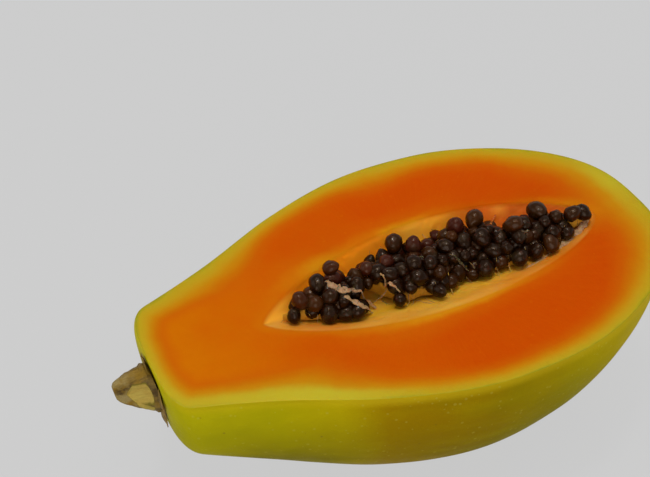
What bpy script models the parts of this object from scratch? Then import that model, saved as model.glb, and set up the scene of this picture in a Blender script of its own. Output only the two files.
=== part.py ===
"""Half of a ripe papaya, lying on its round back with the cut face up.

The half keeps its stalk stub and its heap of seeds. Units are metres, +Z is up,
+X runs from the stalk end to the blossom end, and the origin is the bottom centre
of the bounding box. Everything is first modelled in the fruit's own frame, where
x is 0 at the stalk end and z is 0 on the cut face, and then moved as a whole.
"""

import math
import random

import bmesh
import bpy
from mathutils import Euler, Vector

# Outside of the fruit. Lists of three are at the stalk end, the middle and the
# blossom end, and the radii are at even steps between the ends.
FRUIT_LENGTH = 0.210
STATION_RADII = (0.0267, 0.0400, 0.0544, 0.0626, 0.0613, 0.0533, 0.0430)
STEM_ROUND_SHARE = 0.044
STEM_ROUND_POWER = 3.4
BLOSSOM_ROUND_SHARE = 0.36
BLOSSOM_ROUND_POWER = 2.75
AXIS_BELOW_CUT = (0.0151, 0.0239, 0.0012)
AXIS_SIDE = (0.0084, -0.0004, -0.0101)
LOBES = 5
LOBE_DEPTH = 0.010
STEM_DIMPLE_DEPTH = 0.0018
STEM_DIMPLE_RADIUS = 0.0100
REST_SLICE = 0.0011
SKIN_STATIONS = 56
SKIN_SIDES = 56

# Seed cavity, open at the cut face. Points are (x, y) on the cut face, and the
# breadth and depth are shares of their largest value, which are given here.
CAVITY_START = (0.0442, 0.0036)
CAVITY_END = (0.1885, -0.0100)
CAVITY_HALF_WIDTH = 0.0226
CAVITY_DEPTH = 0.0145
CAVITY_BOW = 0.0023
CAVITY_BOW_SKEW = 1.6
CAVITY_TIP_POWERS = (0.757, 0.686)
CAVITY_DEEPEST = 0.20
CAVITY_NEAR_POWER = 1.3
CAVITY_FAR_POWER = 2.0
CAVITY_RIM_OVERRUN = 1.08
CAVITY_TIP_LIFT = 0.0003
CAVITY_CUTTER_TOP = 0.0150
CAVITY_STEPS_ALONG = 40
CAVITY_STEPS_ACROSS = 18

# Heap of seeds. Its edges run along the cavity at even steps, as shares of the
# cavity's half breadth: -1 is the near rim and 1 the far rim. Seeds that stand out
# at the heap's near edge and on its crown are placed by hand, as (x, y, size).
HEAP_SPAN = (0.055, 0.975)
HEAP_NEAR_EDGE = (-0.05, -0.36, -0.50, -0.06, -0.48, -0.56, -0.30, -0.48, -0.60, -0.61,
                  -0.47, -0.30)
HEAP_FAR_EDGE = (0.25, 0.62, 0.74, 0.58, 0.80, 0.72, 0.70, 0.80, 0.52, 0.56, 0.38, 0.05)
CORE_INSET = 0.12
CORE_THICKNESS = 0.0012
CORE_HEIGHT = 0.0115
CORE_STEPS_ALONG = 30
CORE_STEPS_ACROSS = 8
CLEAR_OF_FLESH = 0.0008
SEED_HALF_AXES = (0.0039, 0.0033, 0.0031)
SEED_SIZE_SPREAD = 0.12
SEED_SIDES = 7
SEED_BANDS = 4
SEED_OVERLAP = 0.80
SEED_SINK = 0.60
SEED_PILE = 0.0040
SEED_TRIES = 900
SMALL_SEED_TRIES = 350
SMALL_SEED_SIZE = 0.76
CROWN_CEILING = 0.0075
SEED_DRAW = 5
EDGE_SEEDS = ((0.0560, 0.0020, 0.85), (0.0680, -0.0034, 1.1), (0.0738, -0.0052, 1.0),
              (0.0785, -0.0070, 0.95), (0.0960, -0.0085, 0.8), (0.1020, -0.0060, 0.85),
              (0.1117, -0.0122, 0.9), (0.1245, -0.0063, 1.1), (0.1340, -0.0114, 1.1),
              (0.1472, -0.0147, 1.1), (0.1617, -0.0153, 1.0), (0.1722, -0.0123, 0.95))
CROWN_SEEDS = ((0.0688, 0.0078, 1.0), (0.0768, 0.0115, 0.9), (0.1062, 0.0135, 1.1),
               (0.1120, 0.0085, 1.0), (0.1320, 0.0088, 1.1), (0.1405, 0.0080, 1.1),
               (0.1502, -0.0042, 1.1), (0.1649, -0.0012, 1.2))

# Stalk stub, from its base against the fruit to its tip. Each ring is a share of
# that length and the radius there, and the slanted cut takes off one side.
STALK_BASE = (0.0, 0.0096, -0.0178)
STALK_TIP = (-0.0138, 0.0116, -0.0150)
STALK_GAP = 0.0004
STALK_SIDES = 25
STALK_RIDGES = 5
STALK_RIDGE_DEPTH = 0.07
STALK_RINGS = ((0.0, 0.0096), (0.10, 0.0098), (0.17, 0.0087), (0.32, 0.0080),
               (0.56, 0.0067), (0.80, 0.0051), (0.94, 0.0038), (1.0, 0.0024))
STALK_CUT_POINT = (-0.0075, 0.0062, -0.0165)
STALK_CUT_NORMAL = (-0.44, -0.80, 0.40)

SKIN_COLOUR = (0.30, 0.27, 0.01)
FLESH_COLOUR = (0.60, 0.08, 0.003)
SEED_COLOUR = (0.012, 0.009, 0.008)
STALK_COLOUR = (0.25, 0.16, 0.05)


def spread(values, t):
    """A smooth curve through evenly spaced values, read at t from 0 to 1."""
    last = len(values) - 1
    i = min(int(t * last), last - 1)
    f = t * last - i
    before = values[i - 1] if i else 2 * values[0] - values[1]
    after = values[i + 2] if i + 2 <= last else 2 * values[last] - values[last - 1]
    a, b = values[i], values[i + 1]
    slope_a = (b - before) / 2
    slope_b = (after - a) / 2
    return (a * (1 + 2 * f) * (1 - f) ** 2 + slope_a * f * (1 - f) ** 2
            + b * f * f * (3 - 2 * f) - slope_b * f * f * (1 - f))


def through_three(values, t):
    """The parabola through three values at the start, the middle and the end."""
    start, middle, end = values
    return (start * (2 * t - 1) * (t - 1) + middle * 4 * t * (1 - t)
            + end * t * (2 * t - 1))


def rounded_end(distance, share, power):
    """0 at the very end, rising to 1 where the rounding of that end stops."""
    left = max(0.0, 1 - distance / share)
    return (1 - left ** power) ** (1 / power)


def fruit_radius(t):
    """Radius of the whole fruit at t, from 0 at the stalk to 1 at the blossom end."""
    return (spread(STATION_RADII, t)
            * rounded_end(t, STEM_ROUND_SHARE, STEM_ROUND_POWER)
            * rounded_end(1 - t, BLOSSOM_ROUND_SHARE, BLOSSOM_ROUND_POWER))


def stem_dimple(radius):
    """How far the skin is drawn in at this distance from the stalk's axis."""
    return STEM_DIMPLE_DEPTH * math.exp(-((radius / STEM_DIMPLE_RADIUS) ** 2))


def skin_point(t, turn):
    """A point of the skin: t runs along the fruit and turn round its axis."""
    radius = fruit_radius(t)
    ribbed = radius * (1 + LOBE_DEPTH * (2 * t - 1) ** 2 * math.cos(LOBES * turn))
    x = FRUIT_LENGTH * t + (stem_dimple(radius) if t < 0.5 else 0.0)
    y = through_three(AXIS_SIDE, t) + ribbed * math.cos(turn)
    z = -through_three(AXIS_BELOW_CUT, t) + ribbed * math.sin(turn)
    return Vector((x, y, z))


def plain_material(name, colour, roughness):
    material = bpy.data.materials.new(name)
    material.use_nodes = True
    shader = material.node_tree.nodes["Principled BSDF"]
    shader.inputs["Base Color"].default_value = (*colour, 1)
    shader.inputs["Roughness"].default_value = roughness
    shader.inputs["Metallic"].default_value = 0.0
    return material


def object_from(bm, name, materials, sharp_angle=math.radians(40)):
    """Makes a named object in the scene from a bmesh."""
    bmesh.ops.recalc_face_normals(bm, faces=bm.faces)
    mesh = bpy.data.meshes.new(name)
    bm.to_mesh(mesh)
    bm.free()
    mesh.shade_smooth()
    mesh.set_sharp_from_angle(angle=sharp_angle)
    for material in materials:
        mesh.materials.append(material)
    obj = bpy.data.objects.new(name, mesh)
    bpy.context.scene.collection.objects.link(obj)
    return obj


def join_rows(bm, rows, closed):
    """Joins each row of vertices to the next with quads."""
    count = len(rows[0])
    for lower, upper in zip(rows, rows[1:]):
        for i in range(count if closed else count - 1):
            j = (i + 1) % count
            bm.faces.new((lower[i], lower[j], upper[j], upper[i]))


def join_to_point(bm, point, ring):
    """Closes a ring of vertices with a fan of triangles."""
    centre = bm.verts.new(point)
    for i, vertex in enumerate(ring):
        bm.faces.new((centre, vertex, ring[(i + 1) % len(ring)]))


def cut_away(bm, point, normal):
    """Removes what lies on the normal's side of a plane and closes the cut."""
    everything = bm.verts[:] + bm.edges[:] + bm.faces[:]
    cut = bmesh.ops.bisect_plane(bm, geom=everything, plane_co=point, plane_no=normal,
                                 clear_outer=True)
    rim = [e for e in cut["geom_cut"] if isinstance(e, bmesh.types.BMEdge)]
    return bmesh.ops.edgeloop_fill(bm, edges=rim)["faces"]


def whole_fruit():
    """The whole fruit as a closed skin, with a pole at each end."""
    bm = bmesh.new()
    turns = [2 * math.pi * k / SKIN_SIDES for k in range(SKIN_SIDES)]
    rows = []
    for i in range(1, SKIN_STATIONS):
        t = (1 - math.cos(math.pi * i / SKIN_STATIONS)) / 2
        rows.append([bm.verts.new(skin_point(t, turn)) for turn in turns])
    join_rows(bm, rows, closed=True)
    join_to_point(bm, skin_point(0.0, 0.0), rows[0])
    join_to_point(bm, skin_point(1.0, 0.0), rows[-1])
    return bm


def cavity_axis(s):
    """(x, y) of the cavity's middle line at s, from 0 to 1 along it."""
    (x0, y0), (x1, y1) = CAVITY_START, CAVITY_END
    bow = CAVITY_BOW * math.sin(math.pi * s ** CAVITY_BOW_SKEW)
    return x0 + (x1 - x0) * s, y0 + (y1 - y0) * s + bow


def cavity_share(s):
    """Breadth and depth of the cavity at s, as a share of the largest."""
    a, b = CAVITY_TIP_POWERS
    widest = a / (a + b)
    return (s / widest) ** a * ((1 - s) / (1 - widest)) ** b


def cavity_fall(q):
    """Depth of the lining at q, from -1 at the near rim to 1 at the far rim."""
    if q < CAVITY_DEEPEST:
        return 1 - ((CAVITY_DEEPEST - q) / (1 + CAVITY_DEEPEST)) ** CAVITY_NEAR_POWER
    return 1 - ((q - CAVITY_DEEPEST) / (1 - CAVITY_DEEPEST)) ** CAVITY_FAR_POWER


def lining_point(s, q, lift=0.0):
    """A point of the cavity's lining, or above it by lift."""
    x, y = cavity_axis(s)
    share = cavity_share(s)
    return Vector((x, y + q * CAVITY_HALF_WIDTH * share,
                   lift - CAVITY_DEPTH * share * cavity_fall(q)))


def floor_height(x, y):
    """Height of the flesh under (x, y): the lining, or the cut face around it."""
    s = (x - CAVITY_START[0]) / (CAVITY_END[0] - CAVITY_START[0])
    if not 0 < s < 1:
        return 0.0
    share = cavity_share(s)
    q = (y - cavity_axis(s)[1]) / (CAVITY_HALF_WIDTH * share)
    if abs(q) > 1:
        return 0.0
    return -CAVITY_DEPTH * share * cavity_fall(q)


def closed_sheet(bm, below, above):
    """A solid between two sheets of points, which are grids of the same size."""
    low = [[bm.verts.new(point) for point in row] for row in below]
    high = [[bm.verts.new(point) for point in row] for row in above]
    join_rows(bm, low, closed=False)
    join_rows(bm, high, closed=False)
    join_rows(bm, [low[0], high[0]], closed=False)
    join_rows(bm, [low[-1], high[-1]], closed=False)
    for side in (0, -1):
        join_rows(bm, [[row[side] for row in low], [row[side] for row in high]],
                  closed=False)


def cavity_cutter(material):
    """What is taken out of the flesh: the cavity, carried on above the cut face."""
    bm = bmesh.new()
    below = []
    above = []
    for i in range(1, CAVITY_STEPS_ALONG):
        s = (1 - math.cos(math.pi * i / CAVITY_STEPS_ALONG)) / 2
        across = [CAVITY_RIM_OVERRUN * (2 * k / CAVITY_STEPS_ACROSS - 1)
                  for k in range(CAVITY_STEPS_ACROSS + 1)]
        lift = CAVITY_TIP_LIFT * (1 - cavity_share(s))
        below.append([lining_point(s, q, lift) for q in across])
        above.append([Vector((p.x, p.y, CAVITY_CUTTER_TOP)) for p in below[-1]])
    closed_sheet(bm, below, above)
    cutter = object_from(bm, "cavity_cutter", [material, material])
    for face in cutter.data.polygons:
        face.material_index = 1
    cutter.hide_render = True
    cutter.display_type = "WIRE"
    return cutter


def make_fruit_half(skin, flesh):
    """Skin, flesh and cavity lining in one piece, cut above the fruit's axis."""
    bm = whole_fruit()
    lowest = min(vertex.co.z for vertex in bm.verts)
    cut_away(bm, (0, 0, lowest + REST_SLICE), (0, 0, -1))
    for face in cut_away(bm, (0, 0, 0), (0, 0, 1)):
        face.material_index = 1
    fruit = object_from(bm, "fruit_half", [skin, flesh])
    cut = fruit.modifiers.new("cavity", "BOOLEAN")
    cut.operation = "DIFFERENCE"
    cut.object = cavity_cutter(flesh)
    return fruit


def heap_edges(along):
    """(s, near q, far q) of the heap, with along from 0 to 1 from end to end."""
    start, end = HEAP_SPAN
    return (start + (end - start) * along, spread(HEAP_NEAR_EDGE, along),
            spread(HEAP_FAR_EDGE, along))


def core_edges(along):
    """The same for the core inside the heap, which stops short of its edges."""
    s, near, far = heap_edges(along)
    return s, near + CORE_INSET, far - CORE_INSET


def core_height(s, across):
    """Height of the heap's core above the lining, highest in its middle."""
    crown = cavity_share(s) * math.sin(math.pi * across) ** 0.7
    return CORE_THICKNESS + CORE_HEIGHT * crown


def seed_core():
    """The inside of the heap, which the seeds stand out of."""
    bm = bmesh.new()
    below = []
    above = []
    for i in range(CORE_STEPS_ALONG + 1):
        s, near, far = core_edges(i / CORE_STEPS_ALONG)
        low = []
        high = []
        for k in range(CORE_STEPS_ACROSS + 1):
            across = k / CORE_STEPS_ACROSS
            point = lining_point(s, near + (far - near) * across, CLEAR_OF_FLESH)
            low.append(point)
            high.append(point + Vector((0, 0, core_height(s, across))))
        below.append(low)
        above.append(high)
    closed_sheet(bm, below, above)
    return bm


def core_top(x, y):
    """Height of the core's top at (x, y), or far below where there is no core."""
    s = (x - CAVITY_START[0]) / (CAVITY_END[0] - CAVITY_START[0])
    start, end = HEAP_SPAN
    if not start < s < end:
        return -1.0
    _, near, far = core_edges((s - start) / (end - start))
    q = (y - cavity_axis(s)[1]) / (CAVITY_HALF_WIDTH * cavity_share(s))
    if not near < q < far:
        return -1.0
    return lining_point(s, q, CLEAR_OF_FLESH).z + core_height(s, (q - near) / (far - near))


def seed_rings(size, turn):
    """The rings of points and the two poles of one egg-shaped seed at the origin."""
    long, wide, high = (half * size for half in SEED_HALF_AXES)
    rings = []
    for band in range(1, SEED_BANDS):
        polar = math.pi * band / SEED_BANDS
        ring = []
        for side in range(SEED_SIDES):
            a = 2 * math.pi * side / SEED_SIDES
            point = Vector((long * math.cos(polar), wide * math.sin(polar) * math.cos(a),
                            high * math.sin(polar) * math.sin(a)))
            ring.append(turn @ point)
        rings.append(ring)
    return rings, turn @ Vector((long, 0, 0)), turn @ Vector((-long, 0, 0))


class SeedHeap:
    """Seeds dropped one after another, each to rest on what is already there."""

    def __init__(self):
        self.draw = random.Random(SEED_DRAW)
        self.placed = []
        self.shapes = []

    def rest_height(self, x, y, size, outline):
        """Where a seed stops: on the lining, half sunk in the core, or on seeds."""
        radius = SEED_HALF_AXES[1] * size
        height = core_top(x, y) + radius * (1 - SEED_SINK)
        for point in outline:
            floor = floor_height(x + point.x, y + point.y) + CLEAR_OF_FLESH
            height = max(height, floor - point.z)
        for other, other_size in self.placed:
            touch = SEED_OVERLAP * (radius + SEED_HALF_AXES[1] * other_size)
            apart = math.hypot(x - other.x, y - other.y)
            if apart < touch:
                height = max(height, other.z + math.sqrt(touch ** 2 - apart ** 2))
        return height

    def drop(self, x, y, size, ceiling):
        """Drops a seed at (x, y), unless it would come to rest above the ceiling."""
        turn = Euler([self.draw.uniform(0, 2 * math.pi) for _ in range(3)]).to_matrix()
        rings, front, back = seed_rings(size, turn)
        outline = [front, back] + [point for ring in rings for point in ring]
        height = self.rest_height(x, y, size, outline)
        if height < ceiling:
            centre = Vector((x, y, height))
            self.placed.append((centre, size))
            self.shapes.append((centre, rings, front, back))

    def fill(self):
        """The near edge, the heap, the seeds on its crown, and small ones between."""
        for x, y, size in EDGE_SEEDS:
            self.drop(x, y, size, CROWN_CEILING)
        self.scatter(SEED_TRIES, 1.0)
        for x, y, size in CROWN_SEEDS:
            self.drop(x, y, size, CROWN_CEILING)
        self.scatter(SMALL_SEED_TRIES, SMALL_SEED_SIZE)
        return self.shapes

    def scatter(self, tries, typical_size):
        """Drops seeds of about one size at random places over the heap."""
        for _ in range(tries):
            s, near, far = heap_edges(self.draw.random())
            spot = lining_point(s, near + (far - near) * self.draw.random())
            size = typical_size * (1 + SEED_SIZE_SPREAD * self.draw.uniform(-1, 1))
            ceiling = max(core_top(spot.x, spot.y), spot.z + CORE_THICKNESS) + SEED_PILE
            self.drop(spot.x, spot.y, size, ceiling)


def keep_largest_body(mesh):
    """Drops whatever isn't joined to the largest body, and fills sealed hollows."""
    bm = bmesh.new()
    bm.from_mesh(mesh)
    unseen = set(bm.verts)
    bodies = []
    while unseen:
        body = {unseen.pop()}
        edge = list(body)
        while edge:
            for link in edge.pop().link_edges:
                for vertex in link.verts:
                    if vertex in unseen:
                        unseen.discard(vertex)
                        body.add(vertex)
                        edge.append(vertex)
        bodies.append(body)
    bodies.sort(key=len)
    print("bodies fused:", [len(body) for body in bodies])
    for body in bodies[:-1]:
        bmesh.ops.delete(bm, geom=list(body), context="VERTS")
    bm.to_mesh(mesh)
    bm.free()


def make_seeds(material):
    """The heap of seeds, each one fused to those it touches."""
    seeds = object_from(seed_core(), "seeds", [material])
    loose = bpy.data.collections.new("loose_seeds")
    for centre, rings, front, back in SeedHeap().fill():
        bm = bmesh.new()
        rows = [[bm.verts.new(centre + point) for point in ring] for ring in rings]
        join_rows(bm, rows, closed=True)
        join_to_point(bm, centre + front, rows[0])
        join_to_point(bm, centre + back, rows[-1])
        seed = object_from(bm, "loose_seed", [material])
        bpy.context.scene.collection.objects.unlink(seed)
        loose.objects.link(seed)
    print(len(loose.objects), "seeds")
    union = seeds.modifiers.new("seeds", "BOOLEAN")
    union.operation = "UNION"
    union.operand_type = "COLLECTION"
    union.collection = loose
    union.solver = "MANIFOLD"
    graph = bpy.context.evaluated_depsgraph_get()
    fused = bpy.data.meshes.new_from_object(seeds.evaluated_get(graph))
    seeds.modifiers.remove(union)
    seeds.data = fused
    keep_largest_body(fused)
    for seed in list(loose.objects):
        bpy.data.objects.remove(seed)
    bpy.data.collections.remove(loose)
    return seeds


def make_stalk(material):
    """The woody stub, ribbed, tapered and cut off at a slant."""
    base = Vector(STALK_BASE)
    lean = Vector(STALK_TIP) - base
    bm = bmesh.new()
    rings = []
    for share, radius in STALK_RINGS:
        middle = base + lean * share
        ring = []
        for side in range(STALK_SIDES):
            a = 2 * math.pi * side / STALK_SIDES
            ribbed = radius * (1 + STALK_RIDGE_DEPTH * math.cos(STALK_RIDGES * a))
            point = middle + Vector((0, ribbed * math.cos(a), ribbed * math.sin(a)))
            if not share:
                point.x += stem_dimple(ribbed) - STALK_GAP
            ring.append(bm.verts.new(point))
        rings.append(ring)
    join_rows(bm, rings, closed=True)
    sunk = Vector((STEM_DIMPLE_DEPTH - 2 * STALK_GAP, 0, 0))
    join_to_point(bm, base + sunk, rings[0])
    join_to_point(bm, Vector(STALK_TIP), rings[-1])
    cut_away(bm, STALK_CUT_POINT, STALK_CUT_NORMAL)
    return object_from(bm, "stalk", [material], sharp_angle=math.radians(30))


def stand_on_origin(parts, carried):
    """Parents everything to an empty that puts the box's bottom centre at 0."""
    points = [vertex.co for part in parts for vertex in part.data.vertices]
    low = [min(point[axis] for point in points) for axis in range(3)]
    high = [max(point[axis] for point in points) for axis in range(3)]
    papaya = bpy.data.objects.new("papaya_half", None)
    papaya.location = (-(low[0] + high[0]) / 2, -(low[1] + high[1]) / 2, -low[2])
    bpy.context.scene.collection.objects.link(papaya)
    for obj in parts + carried:
        obj.parent = papaya
    print("fruit frame at", [round(value, 6) for value in papaya.location])


def main():
    for obj in list(bpy.data.objects):
        bpy.data.objects.remove(obj)
    skin = plain_material("skin", SKIN_COLOUR, 0.45)
    flesh = plain_material("flesh", FLESH_COLOUR, 0.35)
    fruit = make_fruit_half(skin, flesh)
    stalk = make_stalk(plain_material("stalk", STALK_COLOUR, 0.8))
    seeds = make_seeds(plain_material("seeds", SEED_COLOUR, 0.25))
    stand_on_origin([fruit, stalk, seeds], [fruit.modifiers["cavity"].object])


main()
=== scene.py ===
# %% [markdown]
# # Half a ripe papaya, cut side up
#
# A papaya that is cut lengthwise shows four kinds of surface at once: a waxy skin
# that ripens from green to yellow, wet orange flesh that fades to gold by the skin
# and by the hollow, a heap of dark seeds in their wet coats, and the dry wood of
# the stalk. Each gets a mesh of its own and a material of its own in this lesson.
# The plain solids are loaded first, because every piece has to stay where they are.

# %% Load the plain solids
import math
import random

import bmesh
import bpy
import numpy as np
from mathutils import Euler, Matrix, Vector, noise
from mathutils.bvhtree import BVHTree


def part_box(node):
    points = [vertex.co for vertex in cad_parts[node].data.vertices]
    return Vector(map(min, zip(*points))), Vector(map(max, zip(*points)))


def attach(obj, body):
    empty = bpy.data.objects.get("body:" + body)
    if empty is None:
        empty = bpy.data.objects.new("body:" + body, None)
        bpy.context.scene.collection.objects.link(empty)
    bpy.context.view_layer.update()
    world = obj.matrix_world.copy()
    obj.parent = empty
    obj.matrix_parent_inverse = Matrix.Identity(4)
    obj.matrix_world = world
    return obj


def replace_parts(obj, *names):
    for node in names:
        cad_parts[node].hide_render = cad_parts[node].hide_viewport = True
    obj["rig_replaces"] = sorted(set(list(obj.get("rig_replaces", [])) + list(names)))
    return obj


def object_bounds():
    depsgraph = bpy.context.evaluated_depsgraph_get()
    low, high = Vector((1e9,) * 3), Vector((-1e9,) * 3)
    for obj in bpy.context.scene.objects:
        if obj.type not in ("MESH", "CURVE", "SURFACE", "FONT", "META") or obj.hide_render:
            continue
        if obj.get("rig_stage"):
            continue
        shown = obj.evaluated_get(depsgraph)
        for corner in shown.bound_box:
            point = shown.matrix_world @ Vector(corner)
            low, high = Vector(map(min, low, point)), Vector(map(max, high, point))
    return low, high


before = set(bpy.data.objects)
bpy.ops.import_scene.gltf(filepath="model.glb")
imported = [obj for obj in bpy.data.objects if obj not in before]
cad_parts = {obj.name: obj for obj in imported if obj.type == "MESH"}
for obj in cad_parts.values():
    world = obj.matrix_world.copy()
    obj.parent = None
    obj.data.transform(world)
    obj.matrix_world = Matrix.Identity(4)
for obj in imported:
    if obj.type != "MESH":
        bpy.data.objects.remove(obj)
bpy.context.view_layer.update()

# %% [markdown]
# ## The camera
#
# The photograph looks down on the fruit at about 49 degrees, from in front of the
# belly and a little towards the stalk. A camera's own axes are its right, its up and
# the reverse of where it looks, so a direction and a level horizon are all it takes.

# %% Camera
CAMERA_PLACE = Vector((-0.12639, -0.17848, 0.35674))
CAMERA_LOOKS = Vector((0.31125, 0.58127, -0.75183))
CAMERA_LENS, SENSOR_WIDTH, NEAREST_SEEN = 49.85, 36.0, 0.01


def put_in_scene(name, data):
    obj = bpy.data.objects.new(name, data)
    bpy.context.scene.collection.objects.link(obj)
    return obj


def aim(obj, place, direction):
    """Puts a camera or a lamp at a place and turns it to face a direction."""
    obj.location = place
    obj.rotation_mode = "QUATERNION"
    obj.rotation_quaternion = direction.to_track_quat("-Z", "Y")


def make_camera():
    camera = put_in_scene("camera", bpy.data.cameras.new("camera"))
    aim(camera, CAMERA_PLACE, CAMERA_LOOKS)
    camera.data.lens = CAMERA_LENS
    camera.data.sensor_width = SENSOR_WIDTH
    camera.data.clip_start = NEAREST_SEEN
    bpy.context.scene.camera = camera
    return camera


camera = make_camera()
print("camera", [round(v, 3) for v in camera.location], "lens", camera.data.lens)

# %% [markdown]
# ## The rule of the fruit's outside
#
# The solid of the fruit has a few thousand flat faces. It follows a rule, though, and
# the same rule gives as many points as we like: circles of a changing radius along a
# bent axis, with five faint ribs at the ends. Working with NumPy arrays in place of
# single numbers lets one call answer for thousands of points.

# %% Rule of the skin
FRUIT_LENGTH = 0.210
STATION_RADII = (0.0267, 0.0400, 0.0544, 0.0626, 0.0613, 0.0533, 0.0430)
STEM_ROUND_SHARE, STEM_ROUND_POWER = 0.044, 3.4
BLOSSOM_ROUND_SHARE, BLOSSOM_ROUND_POWER = 0.36, 2.75
AXIS_BELOW_CUT = (0.0151, 0.0239, 0.0012)
AXIS_SIDE = (0.0084, -0.0004, -0.0101)
LOBES, LOBE_DEPTH = 5, 0.010
STEM_DIMPLE_DEPTH, STEM_DIMPLE_RADIUS = 0.0018, 0.0100
SIDE_OF_FRAME = 0.001414

fruit_low, fruit_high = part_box("fruit_half")
ORIGIN = np.array((fruit_high.x - FRUIT_LENGTH, SIDE_OF_FRAME, fruit_high.z))
REST_HEIGHT = fruit_low.z - fruit_high.z


def spread(values, t):
    """A smooth curve through evenly spaced values, read at t from 0 to 1."""
    v = np.asarray(values, float)
    v = np.concatenate([[2 * v[0] - v[1]], v, [2 * v[-1] - v[-2]]])
    last = len(values) - 1
    i = np.minimum((np.asarray(t) * last).astype(int), last - 1)
    f = t * last - i
    a, b = v[i + 1], v[i + 2]
    slope_a, slope_b = (b - v[i]) / 2, (v[i + 3] - a) / 2
    return (a * (1 + 2 * f) * (1 - f) ** 2 + slope_a * f * (1 - f) ** 2
            + b * f * f * (3 - 2 * f) - slope_b * f * f * (1 - f))


def through_three(values, t):
    """The parabola through three values at the start, the middle and the end."""
    start, middle, end = values
    return (start * (2 * t - 1) * (t - 1) + middle * 4 * t * (1 - t)
            + end * t * (2 * t - 1))


def rounded_end(distance, share, power):
    left = np.clip(1 - distance / share, 0, 1)
    return (1 - left ** power) ** (1 / power)


def stem_dimple(radius):
    """How far the skin is drawn in at a radius round the stalk."""
    return STEM_DIMPLE_DEPTH * np.exp(-((radius / STEM_DIMPLE_RADIUS) ** 2))


def outside_by(points):
    """How far points lie outside the skin, measured across the fruit's axis."""
    x, y, z = points[..., 0], points[..., 1], points[..., 2]
    first = np.clip(x / FRUIT_LENGTH, 0, 1)
    across = np.hypot(y - through_three(AXIS_SIDE, first),
                      z + through_three(AXIS_BELOW_CUT, first))
    drawn_in = np.where(first < 0.5, stem_dimple(across), 0)
    t = np.clip((x - drawn_in) / FRUIT_LENGTH, 0, 1)
    side = y - through_three(AXIS_SIDE, t)
    rise = z + through_three(AXIS_BELOW_CUT, t)
    radius = (spread(STATION_RADII, t)
              * rounded_end(t, STEM_ROUND_SHARE, STEM_ROUND_POWER)
              * rounded_end(1 - t, BLOSSOM_ROUND_SHARE, BLOSSOM_ROUND_POWER))
    ribs = np.cos(LOBES * np.arctan2(rise, side))
    return np.hypot(side, rise) - radius * (1 + LOBE_DEPTH * (2 * t - 1) ** 2 * ribs)


print("fruit frame at", ORIGIN.round(5), "rest spot at", round(REST_HEIGHT, 5))

# %% [markdown]
# ## The rule of the hollow
#
# The hollow is a boat-shaped dent in the cut face. Its middle line is slightly bowed,
# its breadth and depth swell and fade along it, and its far wall is the steeper one.
# `hollow_depth` answers how deep it is at any place.

# %% Rule of the hollow
CAVITY_START, CAVITY_END = (0.0442, 0.0036), (0.1885, -0.0100)
CAVITY_HALF_WIDTH, CAVITY_DEPTH = 0.0226, 0.0145
CAVITY_BOW, CAVITY_BOW_SKEW = 0.0023, 1.6
CAVITY_TIP_POWERS = (0.757, 0.686)
CAVITY_DEEPEST = 0.20
CAVITY_NEAR_POWER, CAVITY_FAR_POWER = 1.3, 2.0
OFF_THE_TIPS = 1e-6


def along_cavity(x):
    """s, from 0 to 1 along the hollow, of the places at x."""
    return (x - CAVITY_START[0]) / (CAVITY_END[0] - CAVITY_START[0])


def cavity_axis(s):
    """(x, y) of the hollow's middle line at s."""
    (x0, y0), (x1, y1) = CAVITY_START, CAVITY_END
    bow = CAVITY_BOW * np.sin(math.pi * s ** CAVITY_BOW_SKEW)
    return x0 + (x1 - x0) * s, y0 + (y1 - y0) * s + bow


def cavity_share(s):
    """Breadth and depth of the hollow at s, as a share of the largest."""
    a, b = CAVITY_TIP_POWERS
    widest = a / (a + b)
    return (s / widest) ** a * ((1 - s) / (1 - widest)) ** b


def cavity_fall(q):
    """Depth at q, from -1 at the near rim to 1 at the far rim, as a share."""
    near = np.maximum(CAVITY_DEEPEST - q, 0) / (1 + CAVITY_DEEPEST)
    far = np.maximum(q - CAVITY_DEEPEST, 0) / (1 - CAVITY_DEEPEST)
    return 1 - near ** CAVITY_NEAR_POWER - far ** CAVITY_FAR_POWER


def hollow_depth(x, y):
    """(depth, q) of the hollow under a place, with q past 1 outside it."""
    s = np.clip(along_cavity(x), OFF_THE_TIPS, 1 - OFF_THE_TIPS)
    share = cavity_share(s)
    q = (y - cavity_axis(s)[1]) / (CAVITY_HALF_WIDTH * share)
    return CAVITY_DEPTH * share * cavity_fall(q), q


print("hollow", [round(1000 * v, 1) for v in (CAVITY_HALF_WIDTH * 2, CAVITY_DEPTH)], "mm")

# %% [markdown]
# ## Rays from the middle of the hollow
#
# Skin, cut face and hollow meet along two closed curves: the outer rim and the rim of
# the hollow. If every vertex lies on a ray that starts over the rest spot, in the
# middle of the hollow, both rims become plain rings of the mesh. Each ray then needs
# two distances, found by halving an interval until it is tiny.

# %% Rays
HUB = np.array((0.108, -0.0006))
RAYS, RIM_SAMPLES = 560, 4001
FARTHEST, HALVINGS = 0.14, 40


def from_hub(turn, reach):
    return HUB[0] + reach * np.cos(turn), HUB[1] + reach * np.sin(turn)


def on_ray(turn, reach, height):
    """Points at a distance from the hub along rays, at a height over the cut face."""
    return np.stack(np.broadcast_arrays(*from_hub(turn, reach), height), axis=-1)


def halved(low, high, is_true):
    """Narrows each interval down to the place where is_true(value) stops being so."""
    for _ in range(HALVINGS):
        middle = (low + high) / 2
        still = is_true(middle)
        low, high = np.where(still, middle, low), np.where(still, high, middle)
    return low, high


def last_inside(turn, is_inside):
    """The distance along each ray at which is_inside(reach) stops being true."""
    return halved(np.zeros_like(turn), np.full_like(turn, FARTHEST), is_inside)[0]


def skin_reach(turn, height):
    return last_inside(turn, lambda r: outside_by(on_ray(turn, r, height)) < 0)


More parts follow.
